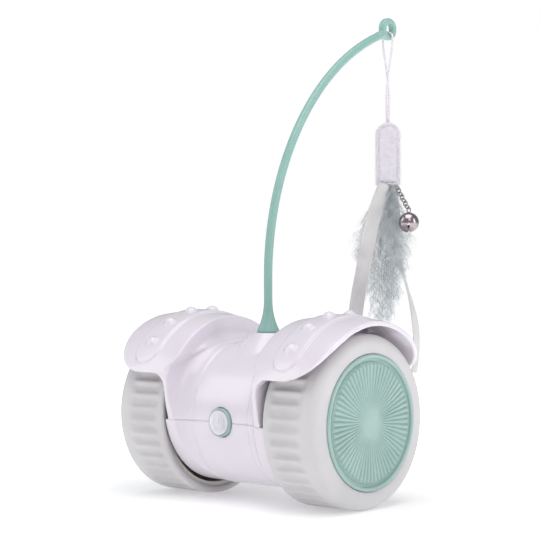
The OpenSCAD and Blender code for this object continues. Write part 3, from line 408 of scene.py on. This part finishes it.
def scoop(a, x, r):
    """How far the tread sinks at one place: a round hollow across each scoop that runs out at both ends."""
    if r < TYRE_R - 1.2 or x < TYRE_IN + 1 or x > TYRE_OUT - 2.5:
        return 0, 0
    middle = (tread_a + tread_b) / 2 - 1
    along = abs(x - middle) / (SCOOP_L / 2 + 0.8)
    across = (a * SCOOPS / (2 * math.pi) + 0.5) % 1 - 0.5
    across = abs(across) * (2 * math.pi * TYRE_R / SCOOPS) / (SCOOP_W / 2 + 0.25)
    if along >= 1 or across >= 1:
        return 0, 0
    run_out = min(1, (1 - along) * SCOOP_RUN_OUT)
    return 0, -SCOOP_DEPTH * (1 - across * across) * run_out * run_out * (3 - 2 * run_out)


tyre_skin = mottled_material("pale_soft_rubber", (216, 214, 215), (204, 202, 204), (0.42, 0.55), 45.0, 2500.0, 0.00002,
                             [("Sheen Weight", 0.08)])
for side, hand in ((1, "right"), (-1, "left")):
    tyre = lathe("tyre_" + hand + "_rubber", tyre_profile, SCOOPS * 14, side, scoop)
    tyre.data.materials.append(tyre_skin)
    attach(tyre, "wheel_" + hand)
    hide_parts("tyre_" + hand)


# Hub caps: mint gloss plastic discs clipped over the rims. Each has a plain rolled ring, a groove, and
# sixty-two round-ended ribs that run inward and fade into a smooth middle.
CAP_R, RING_W, RING_RISE, RING_EDGE = 29.6, 1.8, 0.8, 0.9
GROOVE_W, GROOVE_SINK, GROOVE_EDGE = 1.5, 0.8, 0.55
RIBS, RIB_R, RIB_SINK, RIB_STAND, RIB_STEPS = 62, 1.15, 0.4, 1.05, 34
FADE_FROM, FADE_OVER = 3.0, 8.0
ring_x, groove_x = TYRE_OUT + RING_RISE - RING_EDGE, TYRE_OUT - GROOVE_SINK + GROOVE_EDGE
groove_in = CAP_R - RING_W - GROOVE_W
rib_end = groove_in - 0.2
cap_profile = [(RIM_OUT, 0.0), (RIM_OUT, CAP_R - 0.3), (RIM_OUT + 0.3, CAP_R), (ring_x, CAP_R)]
cap_profile += arc(ring_x, CAP_R - RING_EDGE, RING_EDGE, 90, -90, 14)
cap_profile += arc(groove_x, CAP_R - RING_W - GROOVE_EDGE, GROOVE_EDGE, 90, 180, 4)
cap_profile += arc(groove_x, groove_in + GROOVE_EDGE, GROOVE_EDGE, 180, 270, 4)
cap_profile += [(TYRE_OUT, rib_end - (rib_end - 1.0) * (k / RIB_STEPS) ** 1.25) for k in range(RIB_STEPS + 1)]
cap_profile += [(TYRE_OUT, 0.0)]


def ribbing(a, x, r):
    """How far the face stands out at one place: round ribs with domed outer ends, fading toward the middle."""
    if x < TYRE_OUT - 0.01 or r > rib_end + 0.01 or r < 1.5:
        return 0, 0
    width = RIB_R * min(1, r / (rib_end - RIB_R))
    across = ((a * RIBS / (2 * math.pi)) % 1 - 0.5) * 2 * math.pi * r / RIBS
    end = max(0.0, r - (rib_end - RIB_R))
    reach = width * width - across * across - end * end
    rise = math.sqrt(max(0.0, reach)) * RIB_STAND - RIB_SINK
    fade = max(0.0, min(1.0, (r - FADE_FROM) / FADE_OVER))
    return rise * fade * fade * (3 - 2 * fade), 0


for side, hand in ((1, "right"), (-1, "left")):
    cap = lathe("hub_cap_" + hand + "_face", cap_profile, RIBS * 10, side, ribbing)
    cap.data.materials.append(mint_skin)
    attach(cap, "wheel_" + hand)
    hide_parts("hub_cap_" + hand)


# Wand: a springy mint plastic rod pushed into the body's boss, with a flared foot and a round eyelet at its tip.
# The skin is made anew over the solid and eased, so the rod runs into the eyelet and the foot in one sweep.
wand_skin = mottled_material("mint_wand_plastic", (146, 186, 177), (138, 180, 171), (0.28, 0.36), 50.0, 700.0, 0.000002)
wand_rod = eased_copy("wand", "wand_rod", grain_mm=0.24, passes=8, cling=True)
wand_rod.data.materials.clear()
wand_rod.data.materials.append(wand_skin)
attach(wand_rod, "wand")
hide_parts("wand")


# Felt tab: two thick pads of white wool felt sewn together round the string's ends and the lure's roots.
# A row of stitches runs just inside the edge of both faces; the foot is closed by a row of its own.
LURE = Matrix.Translation(Vector((0, 88.328, 143.079)) * MM) @ Matrix.Rotation(math.radians(36), 4, "Z")
FELT_W, FELT_T, FELT_L = 11.7, 5.5, 30.0
FELT_STRAIGHT = FELT_L - FELT_W / 2
SEAM_IN, SEAM_FROM, SEAM_STEP, SEAM_ARC, STITCH_SINK = 1.5, 2.0, 0.5, 26, 0.55
THREAD_STEPS, THREAD_SIDES, FOOT_STITCHES, FUZZ_HAIRS = 5, 6, 6, 5200
felt = eased_copy("felt_tab", "felt_pads", grain_mm=0.36, passes=5)
felt_home = LURE.inverted()


def felt_inset(x, z):
    """Distance in from the tab's outline, whose top is round and whose foot is straight."""
    if z > FELT_STRAIGHT:
        return FELT_W / 2 - math.hypot(x, z - FELT_STRAIGHT)
    return min(FELT_W / 2 - abs(x), z)


for v in felt.data.vertices:
    p = (felt_home @ v.co) / MM
    inset = felt_inset(p.x, p.z)
    face = math.copysign(1, p.y)
    if abs(p.y) > 1.6 and inset > 0.2:
        sink = STITCH_SINK * math.exp(-((inset - SEAM_IN) / 0.5) ** 2)
        drawn_in = 0.35 * max(0.0, 1 - inset / SEAM_IN)
        p.y -= face * (sink + drawn_in)
    join = STITCH_SINK * math.exp(-(p.y / 0.4) ** 2)
    out = p - Vector((0, p.y, min(p.z, FELT_STRAIGHT)))
    if inset < 1.2 and out.length > 1 and p.z > 0.6:
        p -= out.normalized() * join
    lump = Vector([noise.noise(p * 1.1 + Vector(shift)) for shift in ((0, 0, 0), (9, 3, 5), (2, 8, 7))])
    fine = noise.noise(p * 3.3)
    p += lump * 0.16 + Vector((0, face * fine * 0.1, 0))
    v.co = LURE @ (p * MM)

felt_skin = mottled_material("white_wool_felt", (233, 229, 235), (221, 216, 225), (0.85, 0.97), 520.0, 5200.0, 0.00011,
                             [("Sheen Weight", 0.5), ("Sheen Roughness", 0.5)])
felt.data.materials.clear()
felt.data.materials.append(felt_skin)


def short_thread(points, faces, a, b, lift, radius):
    """One stitch from a to b that bows out by lift."""
    along = (b - a).normalized()
    side = along.cross(lift.normalized())
    up = side.cross(along)
    first = len(points)
    for k in range(THREAD_STEPS + 1):
        t = k / THREAD_STEPS
        swell = radius * (0.55 + 0.45 * math.sin(math.pi * t))
        middle = a.lerp(b, t) + lift * math.sin(math.pi * t)
        for n in range(THREAD_SIDES):
            angle = 2 * math.pi * n / THREAD_SIDES
            points.append(LURE @ ((middle + (side * math.cos(angle) + up * math.sin(angle)) * swell) * MM))
    for k in range(THREAD_STEPS):
        ring, ahead = first + k * THREAD_SIDES, first + (k + 1) * THREAD_SIDES
        for n in range(THREAD_SIDES):
            m = (n + 1) % THREAD_SIDES
            faces.append((ring + n, ring + m, ahead + m, ahead + n))
    faces.append(tuple(first + n for n in reversed(range(THREAD_SIDES))))
    faces.append(tuple(first + THREAD_STEPS * THREAD_SIDES + n for n in range(THREAD_SIDES)))


seam_r = FELT_W / 2 - SEAM_IN
seam_up = [Vector((-seam_r, 0, SEAM_FROM + k * SEAM_STEP)) for k in range(int((FELT_STRAIGHT - SEAM_FROM) / SEAM_STEP))]
seam_angles = [math.pi * k / SEAM_ARC for k in range(SEAM_ARC + 1)]
seam_over = [Vector((-seam_r * math.cos(a), 0, FELT_STRAIGHT + seam_r * math.sin(a))) for a in seam_angles]
seam_line = seam_up + seam_over + [Vector((seam_r, 0, p.z)) for p in reversed(seam_up)]
random.seed(11)
stitch_points, stitch_faces, foot_points, foot_faces = [], [], [], []
for face in (-1, 1):
    for k in range(0, len(seam_line) - 3, 4):
        wander = Vector((random.uniform(-0.2, 0.2), face * (FELT_T / 2 - random.uniform(0.62, 0.85)),
                         random.uniform(-0.15, 0.15)))
        short_thread(stitch_points, stitch_faces, seam_line[k] + wander, seam_line[k + 3] + wander,
                     Vector((0, face * 0.28, 0)), 0.16)
    for k in range(FOOT_STITCHES):
        foot = Vector((-4.2 + k * 1.5 + random.uniform(-0.3, 0.3), face * (FELT_T / 2 - 0.35),
                       random.uniform(0.9, 1.5)))
        foot_end = foot + Vector((random.uniform(0.5, 1.0), 0, random.uniform(-0.15, 0.25)))
        short_thread(foot_points, foot_faces, foot, foot_end, Vector((0, face * 0.22, 0)), 0.2)
stitches = plain_mesh("felt_stitches", stitch_points, stitch_faces)
stitches.data.materials.append(mottled_material(
    "felt_thread", (222, 216, 224), (196, 190, 199), (0.6, 0.75), 700.0, 8000.0, 0.00003))
foot_thread = plain_mesh("felt_foot_thread", foot_points, foot_faces)
foot_thread.data.materials.append(mottled_material(
    "grey_thread", (128, 123, 132), (86, 82, 90), (0.6, 0.75), 700.0, 8000.0, 0.00003))


def stray(low=-1, high=1):
    """A random way to go, with its rise between two limits."""
    return Vector((random.uniform(-1, 1), random.uniform(-1, 1), random.uniform(low, high)))


fuzz_points, fuzz_faces = [], []
felt_normals = [(v.co.copy(), v.normal.copy()) for v in felt.data.vertices]
for k in range(FUZZ_HAIRS):
    root, out = random.choice(felt_normals)
    lean = stray()
    way = (out + lean * 0.9).normalized()
    bend = stray() * 0.25
    reach = random.uniform(0.3, 1.15) * MM
    broad = way.cross(lean).normalized() * 0.028 * MM
    mid = root + way * reach * 0.55
    tip = root + (way + bend).normalized() * reach
    first = len(fuzz_points)
    fuzz_points += [root - broad, root + broad, mid + broad * 0.8, mid - broad * 0.8, tip]
    fuzz_faces += [(first, first + 1, first + 2, first + 3), (first + 3, first + 2, first + 4)]
fuzz = plain_mesh("felt_fuzz", fuzz_points, fuzz_faces)
fuzz.data.materials.append(felt_skin)
for piece in (felt, stitches, foot_thread, fuzz):
    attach(piece, "lure")
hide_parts("felt_tab")


# Ribbons: two lengths of 7 mm white satin ribbon with beaded selvages, sewn into the felt's foot and left free.
# Each is one thin woven strip that hangs, cups a little across its width and turns as it falls.
RIBBON_W, RIBBON_T, RIPPLE = 7.0, 0.3, 0.3
BEAD_PITCH, BEAD_RISE = 1.15, 0.22
FRONT_WAY = [(-1.2, -4, 0.3, 22), (-4.2, -5, -8, 14), (-7.2, -7, -18, 2), (-9.8, -8, -30, -8), (-12.2, -8, -42, -14),
             (-14.4, -7, -54, -12), (-16, -5.5, -66, -6), (-16.6, -4.5, -78, 2), (-16.2, -4.5, -88, 8)]
REAR_WAY = [(1, 4, 0.3, 0), (1.5, 6, -8, 10), (2.5, 9, -20, 30), (4.5, 10.5, -34, 62), (8, 11, -46, 84),
            (11.2, 9.5, -58, 77), (13, 7.5, -70, 67), (13.4, 6, -82, 66), (12.6, 5.5, -92, 70)]

weave_group = bpy.data.node_groups.new("satin_weave", "ShaderNodeTree")
for label, value in (("Rows", 400.0), ("Columns", 60.0)):
    weave_group.interface.new_socket(label, in_out="INPUT", socket_type="NodeSocketFloat").default_value = value
for label in ("Height", "Mask"):
    weave_group.interface.new_socket(label, in_out="OUTPUT", socket_type="NodeSocketFloat")
weave_nodes, weave_links = weave_group.nodes, weave_group.links
weave_in, weave_out = weave_nodes.new("NodeGroupInput"), weave_nodes.new("NodeGroupOutput")
weave_place = weave_nodes.new("ShaderNodeTexCoord")
weave_split = weave_nodes.new("ShaderNodeSeparateXYZ")
weave_links.new(weave_place.outputs["UV"], weave_split.inputs[0])
weave_waves = []
for label, axis in (("Columns", "X"), ("Rows", "Y")):
    turns = weave_nodes.new("ShaderNodeMath")
    turns.operation = "MULTIPLY"
    weave_links.new(weave_split.outputs[axis], turns.inputs[0])
    weave_links.new(weave_in.outputs[label], turns.inputs[1])
    wave = weave_nodes.new("ShaderNodeMath")
    wave.operation = "SINE"
    weave_links.new(turns.outputs[0], wave.inputs[0])
    weave_waves.append(wave)
weave_cross = weave_nodes.new("ShaderNodeMath")
weave_cross.operation = "MULTIPLY"
weave_links.new(weave_waves[0].outputs[0], weave_cross.inputs[0])
weave_links.new(weave_waves[1].outputs[0], weave_cross.inputs[1])
weave_mask = weave_nodes.new("ShaderNodeMapRange")
weave_mask.inputs["From Min"].default_value = -1.0
weave_links.new(weave_cross.outputs[0], weave_mask.inputs["Value"])
weave_links.new(weave_cross.outputs[0], weave_out.inputs["Height"])
weave_links.new(weave_mask.outputs[0], weave_out.inputs["Mask"])

satin_skin, satin_shader, satin_bump = blank_material("white_satin", 0.36, 0.00003)
satin_nodes, satin_links = satin_skin.node_tree.nodes, satin_skin.node_tree.links
satin_weave = satin_nodes.new("ShaderNodeGroup")
satin_weave.node_tree = weave_group
satin_weave.inputs["Rows"].default_value = 2600.0
satin_weave.inputs["Columns"].default_value = 150.0
satin_tint = satin_nodes.new("ShaderNodeGroup")
satin_tint.node_tree = tint_group
satin_tint.inputs["Colour"].default_value = linear(232, 230, 230)
satin_tint.inputs["Shade"].default_value = linear(212, 210, 210)
satin_tint.inputs["Patch Scale"].default_value = 70.0
satin_tint.inputs["Rough Low"].default_value = 0.3
satin_tint.inputs["Rough High"].default_value = 0.45
satin_shader.inputs["Sheen Weight"].default_value = 0.25
satin_shader.inputs["Anisotropic"].default_value = 0.4
satin_links.new(satin_weave.outputs["Height"], satin_bump.inputs["Height"])
satin_links.new(satin_tint.outputs["Colour"], satin_shader.inputs["Base Color"])
satin_links.new(satin_tint.outputs["Roughness"], satin_shader.inputs["Roughness"])


def satin_ribbon(name, route, cup, phase):
    """A woven strip along a route: cupped across, rippled along, with a row of small beads at both selvages."""
    way = smooth_way(route, 0.3)
    columns = [-1.0, -0.955, -0.9, -0.84, -0.6, -0.3, 0.0, 0.3, 0.6, 0.84, 0.9, 0.955, 1.0]
    centres, points, faces, flat = [], [], [], []
    fallen = 0.0
    for i, (x, y, z, turn) in enumerate(way):
        here = Vector((x, y, z))
        ahead = (Vector(way[min(i + 1, len(way) - 1)][:3]) - Vector(way[max(i - 1, 0)][:3])).normalized()
        fallen += (here - Vector(way[max(i - 1, 0)][:3])).length
        broad = Vector((math.cos(math.radians(turn)), math.sin(math.radians(turn)), 0))
        broad = (broad - ahead * broad.dot(ahead)).normalized()
        out = ahead.cross(broad)
        sway = RIPPLE * math.sin(fallen / 13 + phase) * min(1, fallen / 12)
        bead = 0.5 + 0.5 * math.cos(2 * math.pi * fallen / BEAD_PITCH)
        centres.append(LURE @ ((here + out * sway) * MM))
        for skin in (1, -1):
            for c in columns:
                half = RIBBON_W / 2 + (BEAD_RISE * bead if abs(c) > 0.93 else 0)
                thick = RIBBON_T / 2
                if abs(c) > 0.99:
                    thick *= 0.25
                elif abs(c) > 0.86:
                    thick *= 1.2 + 1.3 * bead
                curl = cup * (c * c - 0.33) + 0.12 * math.sin(fallen / 5 + 4 * c + phase)
                points.append(LURE @ ((here + broad * c * half + out * (sway + curl + skin * thick)) * MM))
                flat.append((c * RIBBON_W / 2 * MM * 100, fallen * MM * 10))
    wide = len(columns)
    row = 2 * wide
    for i in range(len(way) - 1):
        a, b = i * row, (i + 1) * row
        for k in range(wide - 1):
            faces.append((a + k, b + k, b + k + 1, a + k + 1))
            faces.append((a + wide + k, a + wide + k + 1, b + wide + k + 1, b + wide + k))
        faces.append((a, a + wide, b + wide, b))
        faces.append((a + wide - 1, b + wide - 1, b + row - 1, a + row - 1))
    for a in (0, (len(way) - 1) * row):
        for k in range(wide - 1):
            quad = (a + k, a + k + 1, a + wide + k + 1, a + wide + k)
            faces.append(quad if a == 0 else quad[::-1])
    strip = plain_mesh(name, points, faces)
    layer = strip.data.uv_layers.new(name="flat")
    for loop in strip.data.loops:
        layer.data[loop.index].uv = flat[loop.vertex_index]
    strip.data.materials.append(satin_skin)
    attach(strip, "lure")
    return strip


front_ribbon = satin_ribbon("ribbon_front_satin", FRONT_WAY, 0.35, 0.4)
rear_ribbon = satin_ribbon("ribbon_rear_satin", REAR_WAY, -0.3, 2.0)
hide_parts("ribbon_front")
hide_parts("ribbon_rear")


# Feather tuft: soft grey-blue marabou plumes tied in the felt's foot among the ribbons, with a skirt of flat strands.
# Each plume is a thin quill with drooping barbs on all sides, and every barb carries its own fine down, the outer
# half of it painted paler as a painted highlight. No strand reaches into the room that the bell hangs in.
PLUMES, SHORT_PLUMES, LOOSE_STRANDS, TUFT_L = 9, 4, 36, 78.0
QUILL_STEPS, BARBS, SHORT_BARBS, BARB_STEPS, HAIRS = 40, 250, 90, 5, 11
BELL_AT, BELL_ROOM = Vector((10.2, -8.5, -18.3)), 5.6


def thin_strand(name, colour, shade):
    """Feather stuff, thin enough that half of the light that reaches it goes on through."""
    material = mottled_material(name, colour, shade, (0.6, 0.8), 210.0, 9000.0, 0.00002, [("Sheen Weight", 0.3)])
    tree = material.node_tree
    shader = tree.nodes["Principled BSDF"]
    through = tree.nodes.new("ShaderNodeBsdfTranslucent")
    both = tree.nodes.new("ShaderNodeMixShader")
    both.inputs[0].default_value = 0.5
    tree.links.new(shader.inputs["Base Color"].links[0].from_socket, through.inputs["Color"])
    tree.links.new(shader.outputs[0], both.inputs[1])
    tree.links.new(through.outputs[0], both.inputs[2])
    tree.links.new(both.outputs[0], tree.nodes["Material Output"].inputs["Surface"])
    return material


def blade(points, faces, line, width, taper):
    """A flat strand along a line of points, narrowing to its tip, unless it would reach into the bell's room."""
    if min((p - BELL_AT).length for p in line) < BELL_ROOM:
        return
    ahead = (line[-1] - line[0]).normalized()
    spin = stray(-0.4, 0.4)
    broad = (spin - ahead * spin.dot(ahead)).normalized()
    first = len(points)
    last = len(line) - 1
    for k, p in enumerate(line):
        w = width * (1 - (1 - taper) * k / last)
        points.append(LURE @ ((p - broad * w) * MM))
        points.append(LURE @ ((p + broad * w) * MM))
    for k in range(last):
        a = first + 2 * k
        faces.append((a, a + 1, a + 3, a + 2))


random.seed(29)
quill_points, quill_faces, down_points, down_faces, highlight_points, highlight_faces = [], [], [], [], [], []
for plume in range(PLUMES + SHORT_PLUMES):
    if plume < PLUMES:
        place = plume / (PLUMES - 1)
        around = math.pi * (0.5 + plume)
        reach = TUFT_L * (random.uniform(0.84, 0.92) - 0.38 * abs(2 * place - 1.1) ** 1.5)
        root = Vector((-0.6 + 2.4 * place, 1.3 * math.sin(around), 0.2))
        foot = Vector((-14 + 19.5 * place, 3.5 * math.sin(around) + random.uniform(-1, 1), -reach))
        bow = Vector((-2.6 + 5.6 * place, 1.2 * math.sin(around), 0))
    else:
        place = (plume - PLUMES) / (SHORT_PLUMES - 1)
        root = Vector((1.2 + 1.4 * place, -3.4, 0.2))
        foot = Vector((-1.5 + 6.5 * place, -8.6 + 2.6 * place, -24 - 15 * place))
        bow = Vector((0.6 * place, -1.6, 0))
    quill = [root.lerp(foot, k / QUILL_STEPS) + bow * math.sin(math.pi * k / QUILL_STEPS)
             for k in range(QUILL_STEPS + 1)]
    blade(quill_points, quill_faces, quill, 0.16, 0.25)
    barbs = BARBS if plume < PLUMES else SHORT_BARBS
    for k in range(barbs):
        t = 0.02 + 0.98 * k / (barbs - 1)
        spot = min(QUILL_STEPS - 1, int(t * QUILL_STEPS))
        start = quill[spot].lerp(quill[spot + 1], t * QUILL_STEPS - spot)
        swell = (2.4 + 6.8 * min(1, t / 0.3)) * (1 - 0.3 * max(0, (t - 0.6) / 0.4))
        clump = 0.72 + 0.5 * abs(math.sin(math.pi * 4 * t + plume * 1.7))
        length = swell * clump * random.uniform(0.75, 1.2) * (1 if plume < PLUMES else 0.62)
        turn = random.uniform(0, 2 * math.pi)
        away = Vector((math.cos(turn), 0.8 * math.sin(turn), 0))
        fall = Vector((0, 0, -random.uniform(0.3, 0.95)))
        curl = stray(-0.3, 0.3) * 0.25
        barb = []
        for j in range(BARB_STEPS + 1):
            s = j / BARB_STEPS
            bent = away * (s - 0.34 * s * s) + fall * (0.35 * s + 0.75 * s * s) + curl * s * s
            barb.append(start + bent * length * 0.8)
        blade(down_points, down_faces, barb, 0.08, 0.35)
        for j in range(HAIRS):
            s = random.uniform(0.15, 0.98)
            spot = min(BARB_STEPS - 1, int(s * BARB_STEPS))
            stem = barb[spot].lerp(barb[spot + 1], s * BARB_STEPS - spot)
            drift = stray(-1.6, 0.1).normalized()
            hair = random.uniform(0.9, 2.5)
            side = stray(-1, 0) * 0.3
            strand = [stem, stem + drift * hair * 0.5, stem + (drift + side) * hair]
            # The outer half of each barb's down takes the paler material: a painted highlight on the tuft's outer
            # fluff.
            if s > 0.5:
                blade(highlight_points, highlight_faces, strand, 0.055, 0.3)
            else:
                blade(down_points, down_faces, strand, 0.05, 0.3)
for k in range(LOOSE_STRANDS):
    turn = random.uniform(0, 2 * math.pi)
    wide = math.sqrt(random.uniform(0, 1))
    start = Vector((-3.2 + 6.4 * wide * math.cos(turn), 4.0 * wide * math.sin(turn), random.uniform(-46, -24)))
    drop = Vector((random.uniform(-0.1, 0.08) + 0.05 * math.cos(turn), random.uniform(-0.1, 0.1), -1)).normalized()
    long = min(random.uniform(18, 38), (TUFT_L + start.z) / -drop.z)
    sway = random.uniform(-0.5, 0.5)
    line = [start + drop * long * j / 5 + Vector((sway * math.sin(j * 0.7), 0, 0)) for j in range(6)]
    blade(quill_points, quill_faces, line, random.uniform(0.06, 0.2), 0.25)
down = plain_mesh("feather_down", down_points, down_faces)
down.data.materials.append(thin_strand("grey_marabou", (229, 233, 234), (182, 189, 194)))
# Painted highlight: this down is coloured paler than the rest to stand in for light on the tuft's outer fluff.
tips = plain_mesh("feather_tips_highlight", highlight_points, highlight_faces)
tips.data.materials.append(thin_strand("paler_down_painted_highlight", (244, 246, 246), (212, 218, 221)))
quills = plain_mesh("feather_quills", quill_points, quill_faces)
quills.data.materials.append(thin_strand("feather_strand", (218, 221, 222), (172, 178, 182)))
for piece in (down, tips, quills):
    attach(piece, "lure")
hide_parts("feather_tuft")


# Bell and chain: a thin pressed round bell with keyhole slots and a loose steel pellet, plated in pinkish nickel,
# on a short chain of small bare steel links from the felt's foot.
METAL = [("Metallic", 1.0)]
bell_skin = mottled_material("pink_nickel", (184, 170, 175), (146, 134, 140), (0.16, 0.3), 260.0, 3000.0, 0.00001,
                             METAL)
link_skin = mottled_material("bare_links", (178, 178, 182), (132, 132, 138), (0.25, 0.4), 900.0, 5000.0, 0.00001, METAL)
dress("bell", bell_skin)
dress("bell_chain", link_skin)
dress("bell_pellet", link_skin)


# Wheel rims and axles: white nylon rims pushed on turned steel axles and held by a screw each.
# The axles run in flanged brass bushes in the body's sides, and their inner ends in the gear plates.
nylon_skin = mottled_material("white_nylon", (226, 225, 219), (210, 209, 202), (0.42, 0.55), 70.0, 1800.0, 0.00002)
steel_skin = mottled_material("turned_steel", (186, 188, 192), (150, 152, 158), (0.24, 0.4), 120.0, 4000.0, 0.00001,
                              METAL)
brass_skin = mottled_material("brass", (206, 172, 96), (172, 138, 70), (0.25, 0.4), 150.0, 4000.0, 0.00001, METAL)
for hand in ("right", "left"):
    dress("wheel_rim_" + hand, nylon_skin)
    dress("axle_" + hand, steel_skin)
    dress("axle_screw_" + hand, steel_skin)
    dress("axle_bush_" + hand, brass_skin)


# Drive: on each side a canned motor with a brass pinion, a nylon idler on a steel pin and a nylon output gear,
# carried by a nylon gear plate that is set across the inside of the shells.
for hand in ("right", "left"):
    for stem in ("gear_plate_", "idler_gear_", "output_gear_"):
        dress(stem + hand, nylon_skin)
    for stem in ("motor_", "motor_shaft_", "idler_pin_"):
        dress(stem + hand, steel_skin)
    dress("motor_pinion_" + hand, brass_skin)


# Power and balance: a lithium cell in a pale sleeve, two green boards, the black push switch behind the button,
# the charging socket at the back, the steel counterweight low in the body, and all the screws.
board_skin = mottled_material("green_board", (54, 104, 70), (36, 82, 54), (0.32, 0.48), 300.0, 3000.0, 0.00002)
switch_skin = mottled_material("black_switch", (44, 44, 47), (30, 30, 33), (0.38, 0.5), 200.0, 2500.0, 0.00002)
cell_skin = mottled_material("cell_sleeve", (150, 190, 202), (126, 170, 184), (0.22, 0.34), 80.0, 1500.0, 0.00001)
dress("battery", cell_skin)
dress("circuit_board", board_skin)
dress("charging_board", board_skin)
dress("push_switch", switch_skin)
dress("switch_plunger", nylon_skin)
for node in ("charging_socket", "counterweight", "body_screws", "board_screws"):
    dress(node, steel_skin)
